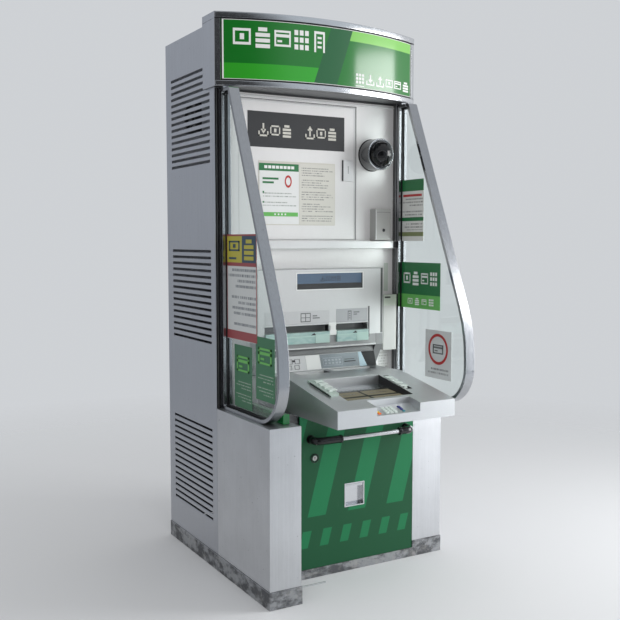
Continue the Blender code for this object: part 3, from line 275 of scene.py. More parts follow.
@dataclass(frozen=True)
class Finish:
    """A finish: its name, its material slot and what every finish can do."""

    name: str
    slot: str = "white_plastic"

    def shade(self, graph: Graph) -> Socket:
        """Builds the shader in a graph and gives its output."""
        raise NotImplementedError

    def material(self) -> bpy.types.Material:
        """Gives this finish's material, made on first use."""
        found = bpy.data.materials.get(self.name)
        if found is None:
            found = bpy.data.materials.new(self.name)
            found.use_nodes = True
            graph = Graph(found.node_tree)
            graph.finish(self.shade(graph))
        return found


@dataclass(frozen=True)
class BrushedSteel(Finish):
    """Satin or polished steel with its grain along one axis."""

    slot: str = "stainless"
    colour: Colour = (0.56, 0.575, 0.6)
    roughness: float = 0.34
    grain: Axis = Axis.Z
    depth: float = 0.1
    blotches: float = 0.1
    pits: float = 0.0
    # Strength of a painted shade that darkens the steel towards the floor.
    low: float = 0.0

    def shade(self, graph: Graph) -> Socket:
        """Fine lines along the grain, wide soft clouds, a few pits, and painted shade towards the floor if
        low is set.
        """
        stretch = [1.0, 1.0, 1.0]
        stretch[self.grain.value] = 0.012
        lines = graph.noise(1400.0, tuple(stretch), 2.0, 0.6)
        streaks = graph.noise(130.0, tuple(stretch), 3.0, 0.55)
        clouds = graph.noise(4.5, detail=4.0, roughness=0.6)
        speckle = graph.noise(520.0, detail=2.0)
        tone = 1.0 + (lines - 0.5) * 0.22 + (streaks - 0.5) * 0.16 + (clouds - 0.5) * self.blotches
        tone = tone + (speckle - 0.5) * 0.07
        # Painted shade: the steel gets darker towards the floor.
        if self.low > 0.0:
            tone = tone * (1.0 - self.low * (1.0 - graph.axis(Axis.Z) * 0.45))
        colour = graph.blend(1.0, self.colour, graph.node("CombineXYZ", {}, {0: tone, 1: tone, 2: tone}),
            "MULTIPLY")
        if self.pits > 0.0:
            spots = graph.ramp(graph.noise(95.0, detail=1.0), (0.76, 0.0), (0.8, 1.0))
            colour = graph.blend(spots * self.pits, colour, tuple(0.35 * c for c in self.colour))
        rough = self.roughness + (streaks - 0.5) * 0.12 + (clouds - 0.5) * 0.1 + (lines - 0.5) * 0.08
        height = lines * 0.55 + streaks * 0.35 + speckle * 0.1
        return graph.surface(Base_Color=colour, Metallic=1.0, Roughness=rough,
            Normal=graph.bump(height, self.depth, 0.0006))


@dataclass(frozen=True)
class FlakePaint(Finish):
    """Silver-white paint with fine metal flakes and a slight orange peel."""

    slot: str = "fascia"
    colour: Colour = (0.74, 0.745, 0.755)
    flake: float = 0.1
    metallic: float = 0.3
    roughness: float = 0.42
    grain: float = 1.0

    def shade(self, graph: Graph) -> Socket:
        """Speckled base colour under a soft peel."""
        flakes = graph.noise(1500.0, detail=1.0)
        clouds = graph.noise(3.5, detail=4.0, roughness=0.6)
        peel = graph.noise(420.0, detail=2.0)
        dust = graph.noise(38.0, (1.0, 1.0, 0.35), 5.0, 0.7)
        tone = 1.0 + (flakes - 0.5) * self.flake * 2.0 + (clouds - 0.5) * 0.07 - (dust - 0.5) * 0.05
        colour = graph.blend(1.0, self.colour, graph.node("CombineXYZ", {}, {0: tone, 1: tone, 2: tone}),
            "MULTIPLY")
        rough = self.roughness + (flakes - 0.5) * 0.1 + (dust - 0.5) * 0.12
        return graph.surface(Base_Color=colour, Metallic=self.metallic, Roughness=rough,
            Normal=graph.bump(flakes * 0.4 + peel, 0.06 * self.grain, 0.0006))


@dataclass(frozen=True)
class WornSteel(Finish):
    """Dark galvanised sheet with stains, scuffs and dried splashes near the floor."""

    slot: str = "dark_steel"
    colour: Colour = (0.36, 0.37, 0.385)
    stain: Colour = (0.05, 0.052, 0.058)
    chalk: Colour = (0.48, 0.47, 0.45)

    def shade(self, graph: Graph) -> Socket:
        """Clouds of stain and chalk over a spangled sheet."""
        clouds = graph.noise(11.0, (1.0, 1.0, 1.6), 6.0, 0.68)
        spangle = graph.noise(70.0, detail=5.0, roughness=0.75)
        scuffs = graph.noise(60.0, (0.12, 0.12, 1.0), 4.0, 0.6)
        stains = graph.ramp(clouds, (0.44, 1.0), (0.56, 0.0))
        chalky = graph.ramp(graph.noise(17.0, detail=6.0, roughness=0.75), (0.53, 0.0), (0.66, 1.0))
        scratched = graph.ramp(scuffs, (0.63, 0.0), (0.68, 1.0))
        colour = graph.blend(spangle, tuple(0.7 * c for c in self.colour),
            tuple(1.3 * c for c in self.colour))
        colour = graph.blend(stains * 0.75, colour, self.stain)
        colour = graph.blend(chalky * 0.55, colour, self.chalk)
        colour = graph.blend(scratched * 0.4, colour, self.chalk)
        rough = 0.46 + (spangle - 0.5) * 0.3 + stains * 0.16
        return graph.surface(Base_Color=colour, Metallic=0.75, Roughness=rough,
            Normal=graph.bump(spangle * 0.6 + clouds, 0.3, 0.001))


@dataclass(frozen=True)
class Plastic(Finish):
    """Moulded plastic, rubber or paint with a fine texture."""

    colour: Colour = (0.02, 0.02, 0.022)
    roughness: float = 0.5
    texture: float = 0.1
    mottle: float = 0.06
    coat: float = 0.0
    glow: float = 0.0
    shine: float = 0.5

    def shade(self, graph: Graph) -> Socket:
        """Even colour with a moulded grain."""
        grain = graph.noise(900.0, detail=2.0)
        clouds = graph.noise(14.0, detail=3.0)
        colour = graph.blend((clouds * 0.7 + grain * 0.3),
            tuple(c * (1 - self.mottle) for c in self.colour), tuple(min(1.0, c * (1 + self.mottle))
            for c in self.colour))
        rough = self.roughness + (grain - 0.5) * 0.12 + (clouds - 0.5) * 0.08
        return graph.surface(Base_Color=colour, Roughness=rough, Coat_Weight=self.coat, Coat_Roughness=0.06,
            Emission_Color=self.colour, Emission_Strength=self.glow, Specular_IOR_Level=self.shine,
            Normal=graph.bump(grain, self.texture, 0.0005))


@dataclass(frozen=True)
class Film(Plastic):
    """A thin coloured film or card."""

    roughness: float = 0.4
    texture: float = 0.02


@dataclass(frozen=True)
class SignPrint(Finish):
    """Two greens under a glossy film, with bands that end on a slant."""

    slot: str = "sign_panel"
    deep: Colour = (0.0015, 0.165, 0.01)
    bright: Colour = (0.022, 0.36, 0.012)
    pale: Colour = (0.22, 0.58, 0.1)
    band_bottom: float = 0.28
    band_top: float = 0.8

    def shade(self, graph: Graph) -> Socket:
        """A bright band at the foot on the left and a pale one at the head on the right."""
        (x0, x1), _, (z0, z1) = Datum.spans("header_sign")
        along = (graph.axis(Axis.X) - (Datum.left + x0)) / (x1 - x0)
        up = (graph.axis(Axis.Z) - z0) / (z1 - z0)
        slanted = along - up * 0.09
        weave = graph.noise(260.0, detail=2.0)
        foot = (up < self.band_bottom) * (slanted < 0.4)
        middle = slanted.within(0.4, 0.515)
        head = (up > self.band_top) * (slanted > 0.515)
        colour = graph.blend(middle * 0.8, self.deep, (0.006, 0.085, 0.03))
        colour = graph.blend(foot, colour, self.bright)
        colour = graph.blend(head, colour, self.pale)
        colour = graph.blend(weave * 0.1, colour, (0.02, 0.2, 0.05))
        return graph.surface(Base_Color=colour, Roughness=0.3 + (weave - 0.5) * 0.05, Coat_Weight=1.0,
            Coat_Roughness=0.12, Coat_IOR=1.6, Specular_IOR_Level=0.25, Normal=graph.bump(weave, 0.01,
            0.0005))


@dataclass(frozen=True)
class DoorPaint(Finish):
    """Green door paint with broad slanted bands of a lighter green."""

    slot: str = "green_paint"
    dark: Colour = (0.014, 0.086, 0.038)
    light: Colour = (0.016, 0.185, 0.074)
    lean: float = 0.27
    pitch: float = 0.19
    band: float = 0.44

    def shade(self, graph: Graph) -> Socket:
        """Bands that lean with height and stop above the foot of the door."""
        (x0, _), _, (z0, z1) = Datum.spans("lower_door")
        across = graph.axis(Axis.X) - (Datum.left + x0) - (graph.axis(Axis.Z) - z0) * self.lean
        phase = (across / self.pitch + 10.12).fract()
        height = (graph.axis(Axis.Z) - z0) / (z1 - z0)
        bands = (phase < self.band) * (height > 0.34)
        foot = ((across / (self.pitch * 0.5) + 10.3).fract() < 0.42) * height.within(0.14, 0.25)
        grain = graph.noise(800.0, detail=2.0)
        clouds = graph.noise(6.0, detail=4.0)
        scuffs = graph.ramp(graph.noise(90.0, (1.0, 1.0, 0.1), 3.0), (0.7, 0.0), (0.76, 1.0))
        colour = graph.blend((bands + foot).clamped(), self.dark, self.light)
        colour = graph.blend(clouds * 0.12, colour, (0.03, 0.13, 0.06))
        colour = graph.blend(scuffs * 0.1, colour, (0.18, 0.3, 0.22))
        rough = 0.48 + (clouds - 0.5) * 0.16 + (grain - 0.5) * 0.1
        return graph.surface(Base_Color=colour, Roughness=rough, Specular_IOR_Level=0.2,
            Normal=graph.bump(grain, 0.1, 0.0005))


@dataclass(frozen=True)
class PaneGlass(Finish):
    """Slightly green safety glass that lets lamps through."""

    tint: Colour = (0.9, 0.955, 0.94)

    def shade(self, graph: Graph) -> Socket:
        """Glass for the eye, and clear for shadow rays."""
        smear = graph.noise(9.0, (1.0, 1.0, 0.4), 4.0, 0.6)
        glass = graph.surface(Base_Color=self.tint, Roughness=0.012 + (smear * 0.018),
            Transmission_Weight=1.0, IOR=1.45)
        clear = graph.node("BsdfTransparent", {}, {0: (*self.tint, 1.0)})
        shadow = graph.node("LightPath", output="Is Shadow Ray")
        return graph.node("MixShader", {}, {0: shadow, 1: glass, 2: clear})


@dataclass(frozen=True)
class PrintedSheet(Finish):
    """Paper or film with ruled lines of print too small to read, made of plain dashes."""

    paper: Colour = (0.72, 0.72, 0.7)
    ink: Colour = (0.1, 0.1, 0.11)
    across: Axis = Axis.X
    margins: tuple[float, float, float, float] = (0.0, 1.0, 0.0, 1.0)
    pitch: float = 0.011
    weight: float = 0.32
    strength: float = 0.75
    group: int = 4
    coat: float = 0.0

    def shade(self, graph: Graph) -> Socket:
        """Rows of short dashes with ragged ends, in groups with a bare row between them."""
        low_u, high_u, low_z, high_z = self.margins
        along = graph.axis(self.across)
        rows = (high_z - graph.axis(Axis.Z)) / self.pitch
        row = rows.floor()
        spread = graph.node("CombineXYZ", {}, {0: along * 330.0, 1: row * 7.3})
        dashes = graph.node("TexNoise", {}, {"Vector": spread, "Scale": 1.0, "Detail": 1.0})
        ends = graph.node("TexWhiteNoise", {"noise_dimensions": "1D"}, {"W": row})
        reach = high_u - (high_u - low_u) * 0.45 * ends * ends
        inside = (along > low_u) * (reach > along) * graph.axis(Axis.Z).within(low_z, high_z)
        bare = (row / float(self.group)).fract() < (1.0 - 1.0 / self.group - 0.01)
        mark = inside * bare * (rows.fract() < self.weight) * (dashes > 0.46)
        fibre = graph.noise(700.0, detail=2.0)
        colour = graph.blend(mark * self.strength, self.paper, self.ink)
        colour = graph.blend(fibre * 0.06, colour, (0.5, 0.5, 0.5))
        return graph.surface(Base_Color=colour, Roughness=0.45 + (fibre - 0.5) * 0.1, Coat_Weight=self.coat,
            Coat_Roughness=0.08, Normal=graph.bump(fibre, 0.02, 0.0003))


@dataclass(frozen=True)
class ScreenGlass(Finish):
    """Dark display glass with an uneven glow from the panel below it."""

    slot: str = "screen"
    colour: Colour = (0.05, 0.047, 0.034)
    lit: float = 0.1
    far: Colour = (0.055, 0.065, 0.07)

    def shade(self, graph: Graph) -> Socket:
        """Olive glass that turns bluish towards the back."""
        _, (d0, d1), _ = Datum.spans("console_screen")
        back = ((Datum.rear - graph.axis(Axis.Y)) - d0) / (d1 - d0)
        cells = graph.noise(1600.0, detail=1.0)
        colour = graph.blend(graph.ramp(back, (0.1, 1.0), (0.45, 0.0)), self.colour, self.far)
        colour = graph.blend(cells * 0.12, colour, (0.1, 0.1, 0.08))
        return graph.surface(Base_Color=colour, Roughness=0.16 + (cells - 0.5) * 0.04, Coat_Weight=0.7,
            Coat_Roughness=0.05, Emission_Color=colour, Emission_Strength=self.lit,
            Normal=graph.bump(cells, 0.01, 0.0003))


@dataclass(frozen=True)
class TealAcrylic(Finish):
    """Pale translucent acrylic of the feed guides; the guides' lighter tops are a painted highlight in
    another finish.
    """

    colour: Colour = (0.42, 0.58, 0.55)
    deep: Colour = (0.33, 0.49, 0.47)

    def shade(self, graph: Graph) -> Socket:
        """A cloudy body under a clear coat."""
        clouds = graph.noise(26.0, (1.0, 1.0, 3.0), 2.0)
        grain = graph.noise(600.0, detail=1.0)
        colour = graph.blend(graph.ramp(clouds, (0.35, 0.0), (0.65, 1.0)), self.colour, self.deep)
        return graph.surface(Base_Color=colour, Roughness=0.22 + (grain - 0.5) * 0.06,
            Subsurface_Weight=0.25, Subsurface_Radius=(0.004, 0.008, 0.008), Coat_Weight=0.6,
            Coat_Roughness=0.08, Normal=graph.bump(grain, 0.02, 0.0003))


class Coat:
    """Every finish of the machine, by its own name."""

    # Side steel, with painted shade that darkens it towards the floor.
    side = BrushedSteel("steel_side", colour=(0.71, 0.73, 0.78), roughness=0.38, depth=0.05, pits=0.5,
        low=0.33)
    pier = BrushedSteel("steel_pier", colour=(0.62, 0.63, 0.65), roughness=0.42, depth=0.06, blotches=0.32,
        pits=0.6)
    cap = BrushedSteel("steel_polished", colour=(0.68, 0.69, 0.71), roughness=0.2, grain=Axis.X,
        depth=0.012)
    ring = BrushedSteel("steel_ring", colour=(0.42, 0.43, 0.45), roughness=0.19, depth=0.012, pits=0.5)
    # A darker copy of the header's steel for its underside: painted shade.
    soffit = BrushedSteel("steel_soffit", colour=(0.25, 0.256, 0.263), roughness=0.42, grain=Axis.X,
        depth=0.05)
    # Darkened polished steel for the camera's sleeve: painted shade.
    sleeve = BrushedSteel("steel_sleeve", colour=(0.2, 0.204, 0.208), roughness=0.2, depth=0.01)
    rod = BrushedSteel("steel_rod", colour=(0.66, 0.66, 0.68), roughness=0.2, grain=Axis.X, depth=0.03)
    deck = FlakePaint("console_silver", colour=(0.67, 0.685, 0.695), flake=0.16, metallic=0.88,
        roughness=0.37, grain=1.2)
    fascia = FlakePaint("fascia_silver", colour=(0.72, 0.713, 0.713), metallic=0.18, roughness=0.52)
    module = FlakePaint("module_silver", colour=(0.575, 0.578, 0.585), flake=0.12, metallic=0.25,
        roughness=0.5)
    # Grey of the cheeks; also used for painted shade under the module's slopes and lip.
    cheek = FlakePaint("cheek_grey", colour=(0.23, 0.232, 0.235), metallic=0.3, roughness=0.55)
    # Light trim; also used for painted highlights on edges and in the trays.
    light_trim = FlakePaint("trim_silver", colour=(0.65, 0.653, 0.658), metallic=0.3, roughness=0.4)
    sensor = FlakePaint("sensor_grey", colour=(0.42, 0.42, 0.41), metallic=0.2, roughness=0.5)
    plinth = WornSteel("plinth_steel")
    sign = SignPrint("sign_print")
    door = DoorPaint("door_paint")
    glass = PaneGlass("pane_glass")
    screen = ScreenGlass("display_glass")
    # Black rubber; also used for painted shade in gaps, round the camera sleeve and on the panel.
    rubber = Plastic("black_rubber", "black_plastic", colour=(0.01, 0.01, 0.012), texture=0.2, shine=0.3)
    gloss_black = Plastic("gloss_black", "black_plastic", colour=(0.004, 0.004, 0.005), roughness=0.12,
        texture=0.01, coat=0.4, shine=0.35)
    # Dark grey; also used for painted shade beside the latch and in the key block's mouth.
    dark = Plastic("dark_grey", "black_plastic", colour=(0.042, 0.043, 0.046), shine=0.3)
    # Slate grey; also used for painted shade in the module, the trays and the left pier.
    mid_dark = Plastic("slate_grey", "grey_plastic", colour=(0.085, 0.087, 0.09), roughness=0.45)
    grey = Plastic("mid_grey", "grey_plastic", colour=(0.27, 0.275, 0.275))
    white = Plastic("white_plastic_finish", colour=(0.43, 0.427, 0.42), texture=0.05)
    film_white = Film("film_white", colour=(0.8, 0.81, 0.8), roughness=0.45)
    film_cream = Film("film_cream", colour=(0.6, 0.585, 0.53), roughness=0.45)
    film_green = Film("film_green", colour=(0.015, 0.165, 0.05))
    film_lime = Film("film_lime", colour=(0.13, 0.46, 0.1))
    film_red = Film("film_red", colour=(0.47, 0.025, 0.025))
    film_wine = Film("film_wine", colour=(0.3, 0.06, 0.065))
    # A paler copy of the acrylic for the guides' tops: painted highlight.
    acrylic_pale = Plastic("acrylic_pale", colour=(0.56, 0.7, 0.66), roughness=0.2, texture=0.02, coat=0.5)
    film_yellow = Film("film_yellow", colour=(0.46, 0.42, 0.05))
    film_navy = Film("film_navy", colour=(0.03, 0.07, 0.115))
    film_olive = Film("film_olive", colour=(0.2, 0.23, 0.1))
    film_sky = Film("film_sky", colour=(0.42, 0.56, 0.63), roughness=0.3)
    display_blue = Plastic("display_blue", "screen", colour=(0.075, 0.115, 0.175), roughness=0.14,
        texture=0.01, coat=0.8, glow=0.15)
    ink = Plastic("ink_grey", "grey_plastic", colour=(0.16, 0.165, 0.17), texture=0.02)
    button = Plastic("screen_button", "screen", colour=(0.125, 0.115, 0.08), texture=0.01, glow=0.75,
        shine=0.05)
    gold = BrushedSteel("steel_guide_lip", colour=(0.62, 0.63, 0.65), roughness=0.24, grain=Axis.X)
    acrylic = TealAcrylic("teal_acrylic")
    key_green = Plastic("key_pale_green", "key_green", colour=(0.68, 0.77, 0.73), roughness=0.3,
        texture=0.04, coat=0.2)
    key_case = Plastic("key_case_green", colour=(0.47, 0.57, 0.52), roughness=0.34, texture=0.05)
    key_yellow = Plastic("key_yellow_finish", colour=(0.82, 0.6, 0.04), roughness=0.3, coat=0.2)
    key_orange = Plastic("key_orange_finish", colour=(0.85, 0.17, 0.03), roughness=0.3, coat=0.2)
    key_navy = Plastic("key_navy_finish", colour=(0.022, 0.025, 0.2), roughness=0.3, coat=0.2)
    key_teal = Plastic("key_teal_finish", colour=(0.012, 0.22, 0.26), roughness=0.3, coat=0.2)
    safe = Plastic("safe_paint", "grey_paint", colour=(0.17, 0.18, 0.19), roughness=0.45, texture=0.35)
    works = Plastic("works_grey", "grey_paint", colour=(0.22, 0.23, 0.24), texture=0.2)
    lamp = Plastic("lamp_tube", colour=(0.85, 0.86, 0.84), roughness=0.3, texture=0.02)


class Bench:
    """Modelling moves; each leaves a mesh whose object sits at the origin."""

    @staticmethod
    def pick(*objects: Piece) -> None:
        """Selects only these objects, and makes the first one active."""
        bpy.ops.object.select_all(action="DESELECT")
        for item in objects:
            item.select_set(True)
        bpy.context.view_layer.objects.active = objects[0] if objects else None

    @staticmethod
    @contextmanager
    def editing() -> Iterator[None]:
        """Edit mode for the active object, with all of it selected."""
        bpy.ops.object.mode_set(mode="EDIT")
        bpy.ops.mesh.select_all(action="SELECT")
        yield
        bpy.ops.object.mode_set(mode="OBJECT")

    @classmethod
    def settle(cls, item: Piece) -> Piece:
        """Moves an object's place, turn and scale into its mesh."""
        cls.pick(item)
        bpy.ops.object.transform_apply(location=True, rotation=True, scale=True)
        return item

    @classmethod
    def rounded(cls, item: Piece, width: float, segments: int = 2, angle: float = 30.0) -> Piece:
        """Rounds the edges that are sharper than an angle, and smooths the shading.

        Args:
            item: A settled mesh.
            width: Width of the rounding; none at 0.
            segments: Steps across the rounding.
            angle: Least angle between faces of a rounded edge, in degrees.

        Returns:
            The same object.
        """
        cls.pick(item)
        if width > 0.0:
            modifier = item.modifiers.new("edge", "BEVEL")
            modifier.width = width
            modifier.segments = segments
            modifier.limit_method = "ANGLE"
            modifier.angle_limit = math.radians(angle)
            bpy.ops.object.modifier_apply(modifier=modifier.name)
        bpy.ops.object.shade_smooth_by_angle(angle=math.radians(35.0))
        if width > 0.0:
            weights = item.modifiers.new("normals", "WEIGHTED_NORMAL")
            weights.keep_sharp = True
            bpy.ops.object.modifier_apply(modifier=weights.name)
        return item

    @classmethod
    def block(cls, x: Span, depth: Span, z: Span, edge: float = 0.0, segments: int = 2) -> Piece:
        """A block between spans, with rounded edges.

        Args:
            x: Lowest and highest x.
            depth: Rear and front depth.
            z: Lowest and highest z.
            edge: Width of the rounding.
            segments: Steps across the rounding.

        Returns:
            The new object.
        """
        low = at(x[0], depth[1], z[0])
        high = at(x[1], depth[0], z[1])
        cls.pick()
        bpy.ops.mesh.primitive_cube_add(size=1.0, location=(low + high) / 2, scale=high - low)
        return cls.rounded(cls.settle(bpy.context.object), edge, segments)

    @classmethod
    def rod(cls, start: Vector, end: Vector, radius: float, sides: int = 32, edge: float = 0.0,
            tip: Optional[float] = None) -> Piece:
        """A round bar or cone between two points.

        Args:
            start: Centre of the first end.
            end: Centre of the other end.
            radius: Radius at the first end.
            sides: Facets round it.
            edge: Width of the rounding at the ends.
            tip: Radius at the other end, if it isn't the same.

        Returns:
            The new object.
        """
        line = end - start
        cls.pick()
        far = radius if tip is None else tip
        bpy.ops.mesh.primitive_cone_add(vertices=sides, radius1=radius, radius2=far, depth=line.length,
            location=(start + end) / 2, rotation=line.to_track_quat("Z", "Y").to_euler())
        return cls.rounded(cls.settle(bpy.context.object), edge, 2, 50.0)

    @classmethod
    def hoop(cls, centre: Vector, direction: Vector, radius: float, section: float,
            sides: int = 40) -> Piece:
        """A ring of round section about a direction."""
        cls.pick()
        bpy.ops.mesh.primitive_torus_add(location=centre, rotation=direction.to_track_quat("Z",
            "Y").to_euler(), major_segments=sides, minor_segments=10, major_radius=radius,
            minor_radius=section)
        return cls.rounded(cls.settle(bpy.context.object), 0.0)

    @classmethod
    def cord(cls, points: Sequence[Vector], radius: float, closed: bool = False) -> Piece:
        """A round bar along a path.

        Args:
            points: The path.
            radius: Half the thickness.
            closed: Whether the last point joins the first.

        Returns:
            The new mesh object.
        """
        cls.pick()
        curve = bpy.data.curves.new("cord", "CURVE")
        curve.dimensions = "3D"
        curve.bevel_depth = radius
        curve.bevel_resolution = 3
        curve.use_fill_caps = not closed
        spline = curve.splines.new("POLY")
        spline.points.add(len(points) - 1)
        for point, place in zip(spline.points, points):
            point.co = (*place, 1.0)
        spline.use_cyclic_u = closed
        item = bpy.data.objects.new("cord", curve)
        bpy.context.scene.collection.objects.link(item)
        cls.pick(item)
        bpy.ops.object.convert(target="MESH")
        return cls.rounded(bpy.context.object, 0.0)

    @classmethod
    def wedge(cls, outline: Sequence[tuple[float, float]], span: Span, view: Axis,
            edge: float = 0.0) -> Piece:
        """A plate with a drawn outline, pulled through a span.

        Args:
            outline: Corners as (depth, z), (x, z) or (x, depth), for the X, Y and Z view.
            span: From where to where it goes along the view.
            view: The axis that the outline is seen along.
            edge: Width of the rounding.

        Returns:
            The new object.
        """
        def corner(first: float, second: float, along: float) -> Vector:
            """A corner of the outline in the frame."""
            if view is Axis.X:
                return at(along, first, second)
            if view is Axis.Y:
                return at(first, along, second)
            return at(first, second, along)

        cls.pick()
        bpy.ops.mesh.primitive_circle_add(vertices=len(outline), radius=0.01, fill_type="NGON")
        item = cls.settle(bpy.context.object)
        for vertex, (first, second) in zip(item.data.vertices, outline):
            vertex.co = corner(first, second, span[0])
        move = corner(0.0, 0.0, span[1]) - corner(0.0, 0.0, span[0])
        with cls.editing():
            bpy.ops.mesh.extrude_region_move(TRANSFORM_OT_translate={"value": move})
            bpy.ops.mesh.select_all(action="SELECT")
            bpy.ops.mesh.normals_make_consistent(inside=False)
        return cls.rounded(item, edge)

    @classmethod
    def turned(cls, item: Piece, angle: float, axis: Axis, about: Vector) -> Piece:
        """Turns a settled mesh about a line through a point."""
        turn = Matrix.Translation(about) @ Matrix.Rotation(angle, 4, axis.name)
        item.data.transform(turn @ Matrix.Translation(-about))
        return item

    @staticmethod
    def stretched(item: Piece, factors: Triple, about: Vector) -> Piece:
        """Stretches a settled mesh along each axis about a point."""
        shift = Matrix.Translation(about)
        item.data.transform(shift @ Matrix.Diagonal((*factors, 1.0)) @ shift.inverted())
        return item

    @classmethod
    def copy(cls, item: Piece, move: Sequence[float]) -> Piece:
        """A copy with its own mesh, moved by (x, depth, z)."""
        cls.pick(item)
        bpy.ops.object.duplicate(linked=False)
        made = bpy.context.object
        made.data.transform(Matrix.Translation((move[0], -move[1], move[2])))
        return made

    @classmethod
    def row(cls, item: Piece, count: int, step: Sequence[float]) -> list:
        """The object and its copies, each a step further."""
        extra = [cls.copy(item, [index * value for value in step]) for index in range(1, count)]
        return [item, *extra]

    @classmethod
    def join(cls, *items: Piece) -> Piece:
        """Joins meshes into the first one."""
        cls.pick(*items)
        if len(items) > 1:
            bpy.ops.object.join()
        return bpy.context.object

    @classmethod
    def softened(cls, node: str, width: float, segments: int = 2) -> Piece:
        """A copy of a CAD node with rounded edges, to stand in for it.

        Args:
            node: Name of the CAD node.
            width: Width of the rounding.
            segments: Steps across it.

        Returns:
            The new object, with the node's mesh left alone.
        """
        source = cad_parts[node]
        item = bpy.data.objects.new("soft_" + node, source.data.copy())
        bpy.context.scene.collection.objects.link(item)
        item.data.materials.clear()
        cls.pick(item)
        with cls.editing():
            bpy.ops.mesh.remove_doubles(threshold=0.00002)
            bpy.ops.mesh.customdata_custom_splitnormals_clear()
            bpy.ops.mesh.dissolve_limited(angle_limit=math.radians(0.5))
        return cls.rounded(item, width, segments, 25.0)

    @staticmethod
    def paint(item: Piece, finish: Finish, chosen: Callable[[Vector, Vector], bool]) -> None:
        """Gives another finish to the faces that a test picks by normal and centre."""
        item.data.materials.append(finish.material())
        last = len(item.data.materials) - 1
        for face in item.data.polygons:
            if chosen(face.normal, face.center):
                face.material_index = last


class Shop:
    """Hands finished pieces over to the frame."""

    made: list[str] = []

    @classmethod
    def add(cls, name: str, finish: Finish, *items: Piece, body: str = "cabinet", slot: str = "",
            node: str = "") -> Piece:
        """Joins parts into one piece, dresses it and lets it ride on a body.

        Args:
            name: The piece's name.
            finish: Its finish, if it hasn't one yet.
            items: Its parts.
            body: The CAD body that it moves with.
            slot: Not used (the record's material slot, if it isn't the finish's own).
            node: CAD node that it stands for, if any.

        Returns:
            The piece.
        """
        piece = Bench.join(*items)
        piece.name = name
        piece.data.name = name
        if not piece.data.materials:
            piece.data.materials.append(finish.material())
        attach(piece, body)
        slot or finish.slot
        if node:
            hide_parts(node)
        cls.made.append(name)
        LOG.info("made %s with %d faces", name, len(piece.data.polygons))
        return piece

    @classmethod
    def soften(cls, node: str, finish: Finish, width: float = 0.0008, segments: int = 2,
            paints: Iterable = (), body: str = "cabinet", slot: str = "") -> Piece:
        """Shows a CAD node with rounded edges and its finishes.

        Args:
            node: The node.
            finish: Its main finish.
            width: Width of the rounding.
            segments: Steps across it.
            paints: (finish, test) for faces with another finish.
            body: Its body.
            slot: Its slot, if it isn't the finish's own; passed to add, which doesn't use it.

        Returns:
            The piece.
        """
        item = Bench.softened(node, width, segments)
        item.data.materials.append(finish.material())
        for other, chosen in paints:
            Bench.paint(item, other, chosen)
        return cls.add(node + "_shown", finish, item, body=body, slot=slot, node=node)

    @classmethod
    def blocks(cls, name: str, finish: Finish, *rows: Row, edge: float = 0.0, segments: int = 2,
            **where: str) -> Piece:
        """Adds a piece made of blocks.

        Args:
            name: Its name.
            finish: Its finish.
            rows: (x, x, depth, depth, z, z) of each block.
            edge: Width of the rounding.
            segments: Steps across the rounding.
            where: Its body, and a slot that add doesn't use.

        Returns:
            The piece.
        """
        parts = [Bench.block(row[:2], row[2:4], row[4:], edge, segments) for row in rows]
        return cls.add(name, finish, *parts, **where)

    @classmethod
    def films(cls, name: str, finish: Finish, placer: Callable, *rows: Row, **where: str) -> Piece:
        """Adds a piece made of a placer's bars.

        Args:
            name: Its name.
            finish: Its finish.
            placer: Makes one bar from its two spans.
            rows: (u, u, v, v) of each bar.
            where: Its body, and a slot that add doesn't use.

        Returns:
            The piece.
        """
        return cls.add(name, finish, *[placer(row[:2], row[2:]) for row in rows], **where)

    @staticmethod
    def dress(node: str, finish: Finish) -> None:
        """Gives a CAD node that is shown as it is a finish."""
        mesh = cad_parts[node].data
        mesh.materials.clear()
        mesh.materials.append(finish.material())


# ---------------------------------------------------------------- shared shapes

Placer = Callable[[Span, Span], Piece]


